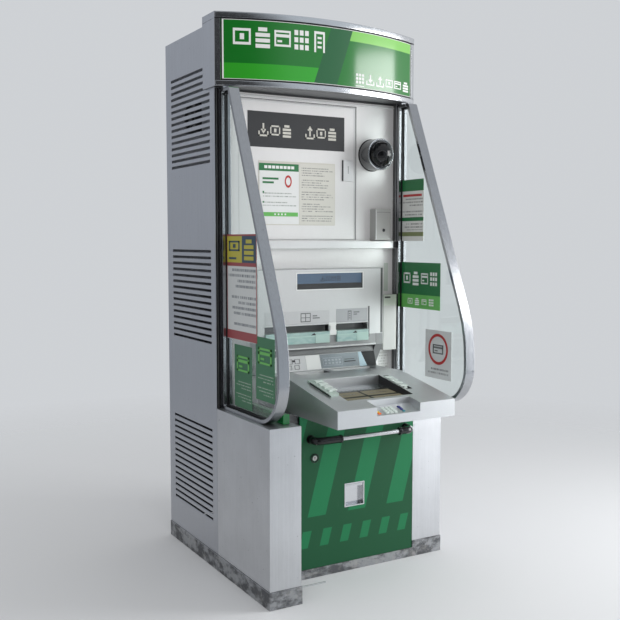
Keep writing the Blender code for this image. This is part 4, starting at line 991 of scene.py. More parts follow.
class Icon(Enum):
    """Plain pictograms, as (u0, v0, u1, v1) bars of a unit square."""

    NOTE = ((0, .12, 1, .24), (0, .76, 1, .88), (0, .12, .11, .88), (.89, .12, 1, .88),
        (.38, .36, .62, .64))
    CARD = ((0, .12, 1, .22), (0, .78, 1, .88), (0, .12, .10, .88), (.90, .12, 1, .88), (0, .56, 1, .70),
        (.18, .32, .46, .42))
    COINS = ((.08, 0, .92, .18), (.08, .26, .92, .44), (.08, .52, .92, .70), (.24, .78, .76, .96))
    KEYS = ((.04, .04, .28, .28), (.38, .04, .62, .28), (.72, .04, .96, .28), (.04, .38, .28, .62),
        (.38, .38, .62, .62), (.72, .38, .96, .62), (.04, .72, .28, .96), (.38, .72, .62, .96),
        (.72, .72, .96, .96))
    RECEIPT = ((.14, 0, .26, 1), (.74, 0, .86, 1), (.14, .88, .86, 1), (.36, .64, .64, .74),
        (.36, .42, .64, .52), (.36, .20, .64, .30))
    INTO = ((.42, .44, .58, 1), (.26, .44, .74, .56), (.36, .32, .64, .44), (.44, .22, .56, .32),
        (0, 0, 1, .13), (0, 0, .13, .40), (.87, 0, 1, .40))
    OUT = ((.42, .22, .58, .72), (.26, .66, .74, .78), (.36, .78, .64, .90), (.44, .90, .56, 1),
        (0, 0, 1, .13), (0, 0, .13, .40), (.87, 0, 1, .40))
    BOOK = ((0, 0, 1, .10), (0, .90, 1, 1), (0, 0, .07, 1), (.93, 0, 1, 1), (.465, 0, .535, 1),
        (.0, .45, 1, .52))

    def draw(self, u: float, v: float, width: float, height: float, placer: Placer) -> list:
        """Places this pictogram's bars.

        Args:
            u: Left edge.
            v: Lower edge.
            width: Width.
            height: Height.
            placer: Makes one bar from its two spans.

        Returns:
            The bars.
        """
        return [placer((u + a * width, u + c * width), (v + b * height, v + d * height)) for a, b, c,
            d in self.value]

    @staticmethod
    def row(icons: Iterable["Icon"], u: float, step: float, v: float, width: float, height: float,
            placer: Placer) -> list:
        """The bars of a row of pictograms, a step apart."""
        return [bar for index, icon in enumerate(icons) for bar in icon.draw(u + step * index, v, width,
            height, placer)]


def rim(u: Span, v: Span, width: float, placer: Placer) -> list:
    """Four bars round a rectangle, inside it."""
    return [placer(u, (v[0], v[0] + width)), placer(u, (v[1] - width, v[1])), placer((u[0], u[0] + width),
        (v[0] + width, v[1] - width)), placer((u[1] - width, u[1]), (v[0] + width, v[1] - width))]


def on_wall(depth: float, thick: float = SKIN) -> Placer:
    """A placer of thin bars on a plane that faces the customer."""
    return lambda x, z: Bench.block(x, (depth - thick, depth + thick), z)


def on_side(x: float, thick: float = SKIN) -> Placer:
    """A placer of thin bars on a plane that faces sideways."""
    return lambda depth, z: Bench.block((x - thick, x + thick), depth, z)


@dataclass
class Bow:
    """The header's arc in plan, with strips that follow it."""

    middle: float = 0.468
    centre_depth: float = -0.4865
    radius: float = 1.1433

    def angle(self, x: float, radius: float) -> float:
        """Angle from straight ahead of a point on the arc."""
        return math.asin((x - self.middle) / radius)

    def strip(self, x: Span, z: Span, inner: float, outer: float, edge: float = 0.0) -> Piece:
        """A bar that follows the arc.

        Args:
            x: From where to where.
            z: Its foot and head.
            inner: How far its back is in front of the arc; behind it if negative.
            outer: How far its face is in front of the arc.
            edge: Width of the rounding.

        Returns:
            The new object.
        """
        near, far = self.radius + inner, self.radius + outer
        start = self.angle(x[0], far)
        end = self.angle(x[1], far)
        centre = at(self.middle, self.centre_depth, 0.0)
        out = Vector((math.sin(start), -math.cos(start), 0.0))
        up = Vector((0.0, 0.0, 1.0))
        turn = Matrix((out, up, out.cross(up))).transposed()
        Bench.pick()
        bpy.ops.mesh.primitive_plane_add(size=1.0, location=centre + out * (near + far) / 2
            + up * sum(z) / 2, rotation=turn.to_euler())
        item = bpy.context.object
        item.scale = (far - near, z[1] - z[0], 1.0)
        Bench.settle(item)
        with Bench.editing():
            bpy.ops.mesh.spin(steps=max(1, round((end - start) / math.radians(1.6))), angle=start - end,
                center=centre, axis=up)
            bpy.ops.mesh.select_all(action="SELECT")
            bpy.ops.mesh.normals_make_consistent(inside=False)
        return Bench.rounded(item, edge)

    def printer(self, lift: float = -0.001) -> Placer:
        """A placer of films on the sign's face."""
        return lambda x, z: self.strip(x, z, lift - SKIN, lift + SKIN)


@dataclass
class Carcass:
    """Side panels with louvre blades, top, plinth and rear door."""

    slots: int = 15
    groups: int = 3
    pitch: float = 0.0265
    group_drop: float = 0.7315
    first_foot: float = 2.027
    depth: Span = (0.0615, 0.477)
    blade: float = 0.0022
    plinth_seams: tuple[float, ...] = (0.3, 0.52, 0.78)

    def build(self) -> None:
        """Builds the carcass."""
        for side in ("left", "right"):
            # The side panel's front edge faces get black: painted shade in the gap beside the wing.
            rib = (Coat.rubber, lambda normal, centre: Datum.rear - centre.y > 0.5236)
            Shop.soften(side + "_side_panel", Coat.side, 0.0008, 2, [rib])
            self.build_blades(side)
        self.build_seals()
        Shop.soften("top_panel", Coat.side, 0.0006)
        Shop.soften("plinth", Coat.plinth, 0.0012)
        Shop.soften("rear_door", Coat.side, 0.0006, body="rear_door")
        self.build_plinth_trim()

    def build_blades(self, side: str) -> None:
        """Sloping blades that close the lower part of each slot."""
        near, far = (0.0002, 0.0028) if side == "left" else (0.9358, 0.9332)
        foot = self.first_foot
        outline = ((near, foot - 0.0004), (far, foot + self.blade), (far, foot + self.blade + 0.0004),
            (near, foot + 0.0004))
        blade = Bench.wedge(outline, self.depth, Axis.Y)
        group = Bench.join(*Bench.row(blade, self.slots, (0.0, 0.0, -self.pitch)))
        blades = Bench.row(group, self.groups, (0.0, 0.0, -self.group_drop))
        Shop.add(side + "_louvre_blades", Coat.side, *blades)

    def build_seals(self) -> None:
        """Painted shade in the gap down each front edge, and a bright bead down each edge."""
        # Black strips between each side panel and its wing: painted shade in the gap.
        Shop.blocks("edge_seals", Coat.rubber, (0.002, 0.0175, 0.5235, 0.5262, 0.6715, 1.9455),
            (0.9185, 0.934, 0.5235, 0.5262, 0.6715, 1.9455), edge=0.0008)
        Shop.blocks("edge_beads", Coat.mid_dark, (0.006, 0.0085, 0.5262, 0.5276, 0.6715, 1.9455),
            (0.9275, 0.93, 0.5262, 0.5276, 0.6715, 1.9455), edge=0.0004, slot="black_plastic")

    def build_plinth_trim(self) -> None:
        """A bright lip along the plinth's top and dark seams on its left side."""
        Shop.blocks("plinth_lips", Coat.gold, (-0.0028, 0.2354, 0.9834, 0.9862, 0.061, 0.0669),
            (-0.0029, -0.0004, 0.004, 0.986, 0.0622, 0.0669), edge=0.0006)
        Shop.blocks("plinth_seams", Coat.rubber, *[(-0.003, -0.0024, depth, depth + 0.0022, 0.0, 0.0655)
            for depth in self.plinth_seams])


@dataclass
class Header:
    """Bowed header with its rails, sign, prints and soffit."""

    bow: Bow = field(default_factory=Bow)
    ends: Span = (-0.0098, 0.9458)
    sign: Span = (0.012, 0.924)
    sign_z: Span = (1.9712, 2.2068)
    icon: float = 0.066
    icon_step: float = 0.0785
    small_icon: float = 0.046
    small_step: float = 0.0565

    def build(self) -> None:
        """Builds the header."""
        # The header's downward faces get the darker steel: painted shade under it.
        soffit = (Coat.soffit, lambda normal, centre: normal.z < -0.9)
        sides = (Coat.side, lambda normal, centre: abs(normal.x) > 0.9)
        Shop.soften("header_housing", Coat.cap, 0.0014, 3, [soffit, sides])
        Shop.soften("header_sign", Coat.sign, 0.0005)
        Shop.dress("header_lamp", Coat.lamp)
        self.build_rails()
        self.build_frame()
        self.build_print()
        self.build_brackets()

    def build_rails(self) -> None:
        """Rolled lips above and below the sign, and painted shadow in the gaps beside them."""
        rails = [self.bow.strip(self.ends, (2.2085, 2.23), -0.004, 0.003, 0.0024),
            self.bow.strip(self.ends, (1.9505, 1.969), -0.004, 0.003, 0.0024)]
        Shop.add("header_rails", Coat.cap, *rails)
        # Dark strips in the gaps between the rails and the sign: painted shadow.
        dark = [self.bow.strip(self.ends, (2.2052, 2.2084), -0.004, 0.0004),
            self.bow.strip(self.ends, (1.9692, 1.9712), -0.004, 0.0004)]
        dark += [Bench.block(x, (0.4345, 0.55), (2.204, 2.2062)) for x in ((-0.0106, -0.0101),
            (0.9461, 0.9466))]
        Shop.add("header_grooves", Coat.rubber, *dark)

    def build_frame(self) -> None:
        """White inner line and black gasket round the sign."""
        film = self.bow.printer()
        Shop.add("sign_gasket", Coat.rubber, *rim(self.sign, self.sign_z, 0.004, film))
        (left, right), (foot, head) = self.sign, self.sign_z
        across, up = (left + 0.0044, right - 0.0044), (foot + 0.004, head - 0.004)
        line = rim(across, up, 0.0018, self.bow.printer(-0.0008))
        line.append(self.bow.strip((across[0], across[0] + 0.0052), up, -0.0014, 0.0006, 0.0005))
        Shop.add("sign_line", Coat.film_white, *line)

    def build_print(self) -> None:
        """Rows of plain pictograms at the head and at the foot."""
        film = self.bow.printer()
        Shop.add("sign_pictograms", Coat.film_white, *Icon.row((Icon.NOTE, Icon.COINS, Icon.CARD, Icon.KEYS,
            Icon.RECEIPT), 0.056, self.icon_step, 2.098, self.icon, 0.082, film))
        Shop.add("sign_small_pictograms", Coat.film_white,
            *Icon.row((Icon.KEYS, Icon.INTO, Icon.OUT, Icon.NOTE, Icon.CARD, Icon.COINS), 0.578,
            self.small_step, 1.992, self.small_icon, 0.043, film), film((0.578, 0.624), (1.9815, 1.985)))

    def build_brackets(self) -> None:
        """Bright angle pieces between the header and each wing."""
        Shop.blocks("header_brackets", Coat.ring, (0.019, 0.064, 0.529, 0.566, 1.9402, 1.9476),
            (0.872, 0.917, 0.529, 0.566, 1.9402, 1.9476), edge=0.0008)
        Shop.blocks("soffit_lip", Coat.dark, (0.064, 0.872, 0.5003, 0.505, 1.941, 1.9476), edge=0.0008)


@dataclass
class Wing:
    """One wing: ring, glass, gaskets and the sheets stuck on its glass."""

    side: str = "left"
    gasket: float = 0.0034

    @property
    def pane(self) -> Span:
        """The glass's two faces, from left to right."""
        return Datum.spans("wing_glass_" + self.side)[0]

    def build(self) -> None:
        """Builds the wing."""
        Shop.soften("wing_frame_" + self.side, Coat.ring, 0.0016, 3)
        Shop.dress("wing_glass_" + self.side, Coat.glass)
        self.build_gaskets()
        if self.side == "left":
            self.build_left_sheets()
        else:
            self.build_right_sheets()

    def build_gaskets(self) -> None:
        """A rubber bead round the glass on both of its faces."""
        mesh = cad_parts["wing_glass_" + self.side].data
        face = self.pane[0] + Datum.left
        corners = {(round(v.co.y, 5), round(v.co.z, 5)) for v in mesh.vertices if abs(v.co.x - face) < 1e-4}
        centre = (sum(c[0] for c in corners) / len(corners), sum(c[1] for c in corners) / len(corners))
        ordered = sorted(corners, key=lambda c: math.atan2(c[1] - centre[1], c[0] - centre[0]))
        beads = []
        for x in (self.pane[0] - self.gasket * 0.6, self.pane[1] + self.gasket * 0.6):
            points = []
            for y, z in ordered:
                inward = Vector((centre[0] - y, centre[1] - z)).normalized() * self.gasket * 0.7
                points.append(Vector((Datum.left + x, y + inward.x, z + inward.y)))
            beads.append(Bench.cord(points, self.gasket, closed=True))
        Shop.add(f"{self.side}_gaskets", Coat.rubber, *beads)

    def stick(self, lift: float) -> Placer:
        """A placer of films in front of the face that the glass turns to the left."""
        return on_side(self.pane[0] - lift * SKIN, SKIN / 2)

    def printed(self, name: str, paper: Colour, ink: Colour, margins: tuple[float, ...], row: Row,
            **rules: float) -> None:
        """A printed sheet on the glass.

        Args:
            name: The piece's name.
            paper: Colour of the sheet.
            ink: Colour of the print.
            margins: Front depth, rear depth, foot and head of the print.
            row: (depth, depth, z, z) of the sheet.
            rules: Pitch, weight, strength and group of the lines.
        """
        reach = (Datum.rear - margins[0], Datum.rear - margins[1], *margins[2:])
        Shop.films(name, PrintedSheet(name + "_print", paper=paper, ink=ink, across=Axis.Y, margins=reach,
            **rules), self.stick(1.0), row)

    def marks(self, name: str, finish: Finish, *rows: Row) -> None:
        """Bars printed on the sheets."""
        Shop.films(name, finish, self.stick(2.4), *rows)

    def build_left_sheets(self) -> None:
        """A tall notice with a yellow head, and two green ones below it."""
        self.printed("notice_left", (0.6, 0.63, 0.64), (0.05, 0.07, 0.1), (0.806, 0.562, 1.01, 1.238),
            (0.551, 0.816, 0.96, 1.368), pitch=0.021, weight=0.5, group=5)
        self.marks("notice_left_head", Coat.film_yellow, (0.557, 0.69, 1.262, 1.364))
        self.marks("notice_left_field", Coat.film_navy, (0.69, 0.81, 1.262, 1.364))
        self.marks("notice_left_foot", Coat.film_wine, (0.551, 0.816, 0.962, 0.996),
            (0.551, 0.816, 1.248, 1.262), (0.551, 0.816, 1.364, 1.371), (0.551, 0.557, 0.996, 1.364),
            (0.81, 0.816, 0.996, 1.364))
        icon = self.stick(4.0)
        Shop.add("notice_left_icons", Coat.film_navy, *Icon.NOTE.draw(0.574, 1.3, 0.096, 0.052, icon),
            icon((0.574, 0.64), (1.274, 1.282)), slot="black_plastic")
        Shop.add("notice_left_figure", Coat.film_yellow, *Icon.COINS.draw(0.702, 1.272, 0.096, 0.082, icon))
        for name, green, margins, row in (("notice_green", (0.026, 0.15, 0.066), (0.762, 0.628, 0.706, 0.8),
                (0.617, 0.771, 0.697, 0.942)), ("notice_green_front", (0.028, 0.165, 0.072),
                (0.946, 0.816, 0.762, 0.85), (0.805, 0.957, 0.753, 0.99))):
            self.printed(name, green, (0.55, 0.62, 0.56), margins, row, pitch=0.012, strength=0.6)
        pale = [bar for depth, z in ((0.64, 0.83), (0.826, 0.88)) for bar in Icon.CARD.draw(depth, z, 0.108,
            0.08, icon)]
        Shop.add("notice_green_icons", Coat.film_lime, *pale)

    def build_right_sheets(self) -> None:
        """A white notice, a green sign and a pale sheet with a ring."""
        self.printed("notice_right", (0.72, 0.72, 0.7), (0.08, 0.08, 0.09), (0.7, 0.554, 1.392, 1.53),
            (0.547, 0.707, 1.345, 1.612), pitch=0.0135, weight=0.45)
        self.marks("notice_right_bands", Coat.film_green, (0.547, 0.707, 1.562, 1.612),
            (0.547, 0.707, 1.432, 1.448))
        self.marks("notice_right_line", Coat.film_red, (0.56, 0.694, 1.538, 1.548))
        self.marks("notice_right_foot", Coat.film_olive, (0.547, 0.707, 1.366, 1.384))
        Shop.films("sign_right", Coat.film_green, self.stick(1.0), (0.549, 0.827, 1.052, 1.252))
        self.marks("sign_right_foot", Coat.film_lime, (0.549, 0.827, 1.052, 1.112))
        icon, kinds = self.stick(3.4), (Icon.NOTE, Icon.COINS, Icon.CARD, Icon.KEYS)
        Shop.add("sign_right_icons", Coat.film_white, *Icon.row(kinds, 0.568, 0.063, 1.152, 0.05, 0.062,
            icon), *Icon.row(kinds, 0.6, 0.05, 1.066, 0.034, 0.032, icon))
        self.printed("sheet_right", (0.66, 0.67, 0.68), (0.1, 0.1, 0.11), (0.888, 0.748, 0.776, 0.806),
            (0.729, 0.905, 0.762, 0.968), pitch=0.016, weight=0.5)
        centre = at(self.pane[0] - 3.0 * SKIN, 0.817, 0.888)
        ring = Bench.hoop(centre, Vector((1.0, 0.0, 0.0)), 0.06, 0.006, 64)
        Shop.add("sheet_right_ring", Coat.film_red, Bench.stretched(ring, (0.1, 1.0, 1.0), centre))
        Shop.add("sheet_right_icon", Coat.ink, *Icon.CARD.draw(0.782, 0.862, 0.07, 0.052, icon),
            slot="black_plastic")


@dataclass
class Wall:
    """Painted wall with its door, plates, camera, sensor, ledge and leaflet holder."""

    front: float = 0.5
    door_x: Span = (0.12, 0.672)
    door_z: Span = (1.351, 1.917)
    board_x: Span = (0.204, 0.571)
    board_z: Span = (1.411, 1.674)
    camera: Triple = (0.76, 0.568, 1.719)

    def build(self) -> None:
        """Builds the wall and all that hangs on it."""
        # The sleeve's faces get the darkened steel: painted shade on the barrel.
        barrel = (Coat.sleeve, lambda normal, centre: self.near_barrel(centre))
        sensor = (Coat.sensor, lambda normal, centre: self.is_proud(centre, 1.347, 1.486)
            and 0.752 < centre.x - Datum.left < 0.835)
        ledge = (Coat.light_trim, lambda normal, centre: self.is_proud(centre, 1.312, 1.346))
        Shop.soften("fascia_wall", Coat.fascia, 0.0014, 3, [barrel, sensor, ledge])
        Shop.soften("access_door", Coat.fascia, 0.0012, body="access_door")
        Shop.blocks("wall_liners", Coat.mid_dark, (0.0575, 0.0598, 0.496, 0.52, 0.672, 2.19),
            (0.8762, 0.8785, 0.496, 0.52, 0.672, 2.19))
        Shop.blocks("wall_shadow_strip", Coat.rubber, (0.8765, 0.893, 0.5238, 0.525, 0.6725, 1.94))
        self.build_door_trim()
        self.build_plate()
        self.build_board()
        self.build_camera()
        self.build_sensor()
        self.build_holder()

    def is_proud(self, centre: Vector, low: float, high: float) -> bool:
        """Whether a face stands in front of the wall, between two heights."""
        return low < centre.z < high and Datum.rear - centre.y > self.front + 0.001

    def near_barrel(self, centre: Vector) -> bool:
        """Whether a face belongs to the camera's sleeve."""
        x, z = centre.x - Datum.left - self.camera[0], centre.z - self.camera[2]
        return Datum.rear - centre.y > self.front + 0.001 and math.hypot(x, z) < 0.072

    def build_door_trim(self) -> None:
        """Painted highlight on the door's top and right edges, wall rails, ribs, bolts, and the latch with
        painted shade on its left.
        """
        (left, right), (foot, head) = self.door_x, self.door_z
        place = on_wall(self.front, 0.0007)
        # Light strips on the door's top and right edges: painted highlight.
        Shop.films("access_door_edge", Coat.light_trim, place, (left + 0.002, right - 0.002, head - 0.006,
            head - 0.0015), (right - 0.0065, right - 0.0015, foot + 0.002, head - 0.006),
            body="access_door")
        Shop.films("access_frame", Coat.ink, place, (left - 0.001, right + 0.0085, head + 0.003,
            head + 0.0065), (right + 0.0035, right + 0.0075, foot - 0.002, head + 0.003), slot="fascia")
        Shop.blocks("wall_edge_rails", Coat.light_trim, (0.062, 0.874, 0.5003, 0.5085, 1.9275, 1.933),
            (0.0625, 0.0705, 0.5003, 0.5045, 0.676, 1.927), edge=0.001)
        inside = [Bench.block((0.15, 0.64), (0.487, 0.4918), (z, z + 0.022), 0.001) for z in (1.42, 1.62,
            1.84)]
        bolts = [Bench.rod(at(0.64, 0.4895, z), at(0.668, 0.4895, z), 0.0022, 16) for z in (1.431, 1.851)]
        Shop.add("access_door_ribs", Coat.works, *inside, *bolts, body="access_door")
        Shop.soften("access_latch", Coat.light_trim, body="access_latch", slot="white_plastic")
        # A dark strip down the latch's left side: painted shade.
        Shop.blocks("latch_edge", Coat.dark, (0.607, 0.6106, self.front, self.front + 0.0045, 1.603, 1.692),
            edge=0.0004, body="access_door")
        Shop.blocks("latch_slit", Coat.ink, (0.6335, 0.6362, 0.506, 0.5068, 1.635, 1.661),
            (0.6328, 0.6369, 0.506, 0.5069, 1.662, 1.666), edge=0.0003, body="access_latch",
            slot="black_plastic")

    def build_plate(self) -> None:
        """Dark plate with two groups of three pale pictograms."""
        front = self.front
        Shop.blocks("sign_plate", Coat.dark, (0.156, 0.618, front - 0.0002, front + 0.0012, 1.7285, 1.8725),
            edge=0.0005, body="access_door")
        marks = []
        for start, first in ((0.204, Icon.INTO), (0.424, Icon.OUT)):
            for index, icon in enumerate((first, Icon.NOTE, Icon.COINS)):
                marks += icon.draw(start + 0.0545 * index, 1.772, 0.046, 0.053, on_wall(front + 0.0013))
        Shop.add("sign_plate_pictograms", Coat.film_cream, *marks, body="access_door")

    def build_board(self) -> None:
        """Notice board: a white card with marks, and a card of small print."""
        (left, right), (foot, head) = self.board_x, self.board_z
        split = left + 0.192
        front = self.front
        door = {"body": "access_door"}
        Shop.blocks("board_back", Coat.film_cream, (left, right, front - 0.0002, front + 0.001, foot, head),
            edge=0.0004, **door)
        film, stick, white = (on_wall(front + lift, SKIN / 2) for lift in (0.0012, 0.0018, 0.0022))
        Shop.films("board_card", PrintedSheet("board_card_print", paper=(0.76, 0.77, 0.77),
            ink=(0.16, 0.2, 0.17), pitch=0.0125, weight=0.34, group=3, margins=(Datum.left + left + 0.018,
            Datum.left + split - 0.014, foot + 0.062, head - 0.13)), film, (left + 0.004, split - 0.003,
            foot + 0.004, head - 0.012), **door)
        Shop.films("board_print", PrintedSheet("board_small_print", paper=(0.64, 0.63, 0.58),
            ink=(0.11, 0.11, 0.11), pitch=0.01, weight=0.4, group=5, margins=(Datum.left + split + 0.01,
            Datum.left + right - 0.01, foot + 0.014, head - 0.022)), film,
            (split, right - 0.004, foot + 0.004, head - 0.006), **door)
        Shop.films("board_head", Coat.film_green, stick, (left + 0.002, split - 0.004, head - 0.04,
            head - 0.01), (left + 0.018, left + 0.092, head - 0.076, head - 0.068),
            (left + 0.018, left + 0.07, head - 0.092, head - 0.084), (left + 0.018, left + 0.025,
            head - 0.131, head - 0.124), (left + 0.018, left + 0.025, head - 0.172, head - 0.165),
            slot="green_paint", **door)
        Shop.films("board_lime", Coat.film_lime, stick, (left + 0.016, split - 0.008, foot + 0.036,
            foot + 0.053), **door)
        dots = [(left + x, left + x + 0.007, foot + 0.041, foot + 0.048) for x in (0.072, 0.088, 0.104,
            0.12)]
        dots += [(left + 0.026 + x, left + 0.04 + x, head - 0.031, head - 0.019)
            for x in (0.018 * index for index in range(8))]
        Shop.films("board_dots", Coat.film_white, white, *dots, **door)
        coin = Bench.hoop(at(left + 0.138, front + 0.0019, head - 0.082), -AHEAD, 0.017, 0.0036, 40)
        Bench.stretched(coin, (0.8, 0.08, 1.25), at(left + 0.138, front + 0.0019, head - 0.082))
        Shop.add("board_coin", Coat.film_red, coin, **door)

    def build_camera(self) -> None:
        """Rim and shade of the sleeve, and the lens in the dome."""
        x, depth, z = self.camera
        face = 0.572
        Shop.add("camera_rim", Coat.cap, Bench.hoop(at(x, face - 0.0012, z), AHEAD, 0.0642, 0.003, 72),
            slot="polished_steel")
        # Dark rings in the sleeve's mouth and at its foot on the wall: painted shade.
        Shop.add("camera_gaskets", Coat.rubber, Bench.hoop(at(x, face - 0.003, z), AHEAD, 0.059, 0.0024,
            72), Bench.hoop(at(x, self.front + 0.001, z), AHEAD, 0.068, 0.0022, 72))
        Shop.dress("camera_dome", Coat.gloss_black)
        aim = Vector((-0.42, -0.86, -0.22)).normalized()
        centre = at(x, depth, z)
        Shop.add("camera_lens_ring", Coat.dark, Bench.hoop(centre + aim * 0.05, aim, 0.0215, 0.0022, 48),
            body="camera_dome")
        Shop.add("camera_lens", Coat.gloss_black, Bench.rod(centre + aim * 0.048, centre + aim * 0.0545,
            0.015, 40, 0.0016, 0.012), body="camera_dome")

    def build_sensor(self) -> None:
        """Dark window and seam of the sensor box, and the ledge's end cap."""
        Shop.blocks("sensor_edge", Coat.light_trim, (0.7545, 0.759, 0.5436, 0.5446, 1.352, 1.482),
            edge=0.0003, slot="grey_plastic")
        seam = Bench.block((0.76, 0.833), (0.5436, 0.5443), (1.47, 1.4712))
        eye = Bench.rod(at(0.797, 0.5436, 1.392), at(0.797, 0.5452, 1.392), 0.007, 32, 0.0005)
        end = Bench.block((0.858, 0.8757), (0.5296, 0.5306), (1.3145, 1.3435), 0.0003)
        Shop.add("sensor_seam", Coat.dark, seam, eye, end)

    def build_holder(self) -> None:
        """Leaflet pocket with leaflets, and the sheets near it."""
        Shop.soften("leaflet_holder", Coat.white)
        Shop.blocks("leaflets", Coat.film_white,
            *[(0.7955, 0.8585, 0.504 + 0.008 * index, 0.5095 + 0.008 * index, 0.866, 1.1035 - 0.004 * index)
            for index in range(5)], edge=0.0004)
        Shop.films("holder_head", Plastic("holder_tint", colour=(0.46, 0.5, 0.44), roughness=0.3),
            on_wall(0.5526), (0.7925, 0.8615, 1.06, 1.1075))
        Shop.films("holder_mark", Coat.dark, on_wall(0.5532), (0.799, 0.829, 1.093, 1.1))
        film = on_wall(self.front + 0.0006)
        Shop.films("wall_strip", Plastic("strip_tint", colour=(0.5, 0.55, 0.5), roughness=0.35), film,
            (0.829, 0.851, 1.121, 1.247))
        Shop.films("wall_note", PrintedSheet("wall_note_print", paper=(0.6, 0.6, 0.59),
            ink=(0.26, 0.25, 0.24), pitch=0.0125, weight=0.5, strength=0.6, group=9,
            margins=(Datum.left + 0.803, Datum.left + 0.855, 0.776, 0.846)), film,
            (0.799, 0.8575, 0.772, 0.851))


@dataclass
class CashModule:
    """Housing with the message window, labels, feed guides, shutters and graphic panel."""

    x: Span = (0.165, 0.7709)
    front: float = 0.578
    top: float = 1.23
    window_x: Span = (0.341, 0.665)
    window_z: Span = (1.144, 1.21)
    slots: tuple[Span, Span] = ((0.194, 0.494), (0.53, 0.691))
    slot_z: Span = (0.917, 0.994)
    guide_z: float = 0.965
    guide_rear: float = 0.5402
    panel_foot: Span = (0.5862, 0.8046)
    panel_head: Span = (0.565, 0.866)
    panel_high: float = 0.0635

    def build(self) -> None:
        """Builds the module."""
        # Downward faces of the housing get darker grey: painted shade under them.
        slope = (Coat.cheek, lambda normal, centre: normal.z < -0.5)
        cheek = (Coat.cheek, lambda normal, centre: centre.x - Datum.left > 0.7345 and centre.z < 0.944
            and normal.y < -0.2)
        # The cheek's inner side gets slate grey: painted shade.
        inner = (Coat.mid_dark, lambda normal, centre: normal.x < -0.5 and centre.z < 0.905
            and abs(centre.x - Datum.left - 0.7336) < 0.002)
        Shop.soften("module_housing", Coat.module, 0.0016, 3, [slope, cheek, inner])
        self.build_outline()
        self.build_window()
        self.build_labels()
        self.build_feeds()
        self.build_panel()

    def build_outline(self) -> None:
        """Painted shadow lines round the top and the right, the lip and the cheeks' lines."""
        (left, right), front, film = self.x, self.front, on_wall(self.front)
        # Dark lines along the top and the right edge: painted shadow; the short one at the cheek is a seam.
        Shop.add("module_seams", Coat.mid_dark, film((left + 0.003, right - 0.002),
            (self.top - 0.0032, self.top - 0.0014)), Bench.block((right - 0.0125, right - 0.002),
            (front - 0.001, front + 0.0006), (0.945, self.top - 0.002), 0.0003),
            Bench.block((0.734, 0.7352), (front - 0.001, front + 0.0006), (0.897, 0.945)))
        rows = [(left + 0.001, 0.7335, front - 0.0012, front + 0.003, 0.8945, 0.901)]
        rows += [(low - 0.001, high + 0.001, front - 0.001, front + 0.0042, self.slot_z[1] + 0.0002,
            self.slot_z[1] + 0.0048) for low, high in self.slots]
        Shop.blocks("module_lips", Coat.light_trim, *rows, edge=0.0012, segments=3)
        Shop.blocks("module_cheek_face", Coat.cheek, (0.7354, 0.7694, front - 0.0008, front + 0.0006,
            0.8965, 0.943), edge=0.0004, slot="stainless")
        Shop.films("module_foot_strip", FlakePaint("foot_strip_grey", colour=(0.3, 0.303, 0.306),
            metallic=0.25, roughness=0.55), film, (left + 0.003, 0.7335, 0.9012, 0.916),
            (0.6925, 0.7335, 0.916, 0.943), (0.4945, 0.5295, 0.916, 0.948), (left + 0.003, 0.1925, 0.916,
            0.943))
        Shop.blocks("module_feet", Coat.ink, *[(*x, 0.5008, 0.5195, 0.7905, 0.7945)
            for x in ((0.1665, 0.2015), (0.7345, 0.77))], edge=0.0006)

    def build_window(self) -> None:
        """Message window: white line, blue field with a faint row of marks, dark foot."""
        (left, right), (foot, head) = self.window_x, self.window_z
        Shop.add("window_line", Coat.film_white, *rim((left - 0.0036, right + 0.0036),
            (foot - 0.0036, head + 0.0036), 0.0034, on_wall(self.front, 0.0006)))
        back = on_wall(self.front - 0.0014, 0.0005)
        split = foot + 0.0235
        Shop.films("window_field", Coat.display_blue, back, (left + 0.0004, right - 0.006, split,
            head - 0.0004))
        Shop.films("window_foot", Coat.dark, back, (left + 0.0004, right - 0.0004, foot + 0.0004, split),
            (right - 0.006, right - 0.0004, split, head - 0.0004))
        film = on_wall(self.front - 0.0008, SKIN / 2)
        marks = Icon.row((Icon.INTO, Icon.NOTE, Icon.CARD, Icon.KEYS), 0.454, 0.0265, 1.176, 0.0215, 0.0225,
            film)
        Shop.add("window_marks", Plastic("window_ink", colour=(0.045, 0.062, 0.095), roughness=0.3), *marks,
            slot="screen")

    def build_labels(self) -> None:
        """Label plates above the slots, with pictograms, and a dark block of painted shade for the recess
        beside them.
        """
        front = self.front
        for name, coat, colour, right, head, left in (("label_left", "label_pale", (0.52, 0.52, 0.53),
                0.497, 1.055, 0.196), ("label_right", "label_slate", (0.38, 0.385, 0.4), 0.69, 1.057,
                0.5315)):
            finish = FlakePaint(coat, colour=colour, flake=0.06, metallic=0.3, roughness=0.5)
            Shop.blocks(name, finish, (left, right, front - 0.0004, front + 0.001, 0.9992, head),
                edge=0.0005)
        # A dark block where the recess beside the labels lies: painted shade.
        Shop.blocks("label_recess", Coat.mid_dark, (0.6935, 0.701, front - 0.0004, front + 0.0009, 0.93,
            1.064), edge=0.0003)
        film = on_wall(front + 0.0012, SKIN / 2)
        marks = Icon.BOOK.draw(0.357, 1.008, 0.048, 0.038, film) + Icon.RECEIPT.draw(0.585, 1.006, 0.026,
            0.042, film)
        marks += [film((x, x + width), (z, z + 0.005)) for x, z, width in ((0.415, 1.03, 0.022),
            (0.415, 1.021, 0.034), (0.618, 1.038, 0.03), (0.618, 1.029, 0.018))]
        Shop.add("label_marks", Coat.ink, *marks)

    def on_guide(self, centre: Vector, low: float = 0.0) -> bool:
        """Whether a face belongs to a feed guide, above a height."""
        return Datum.rear - centre.y > self.guide_rear and low < centre.z < self.guide_z + 0.0006

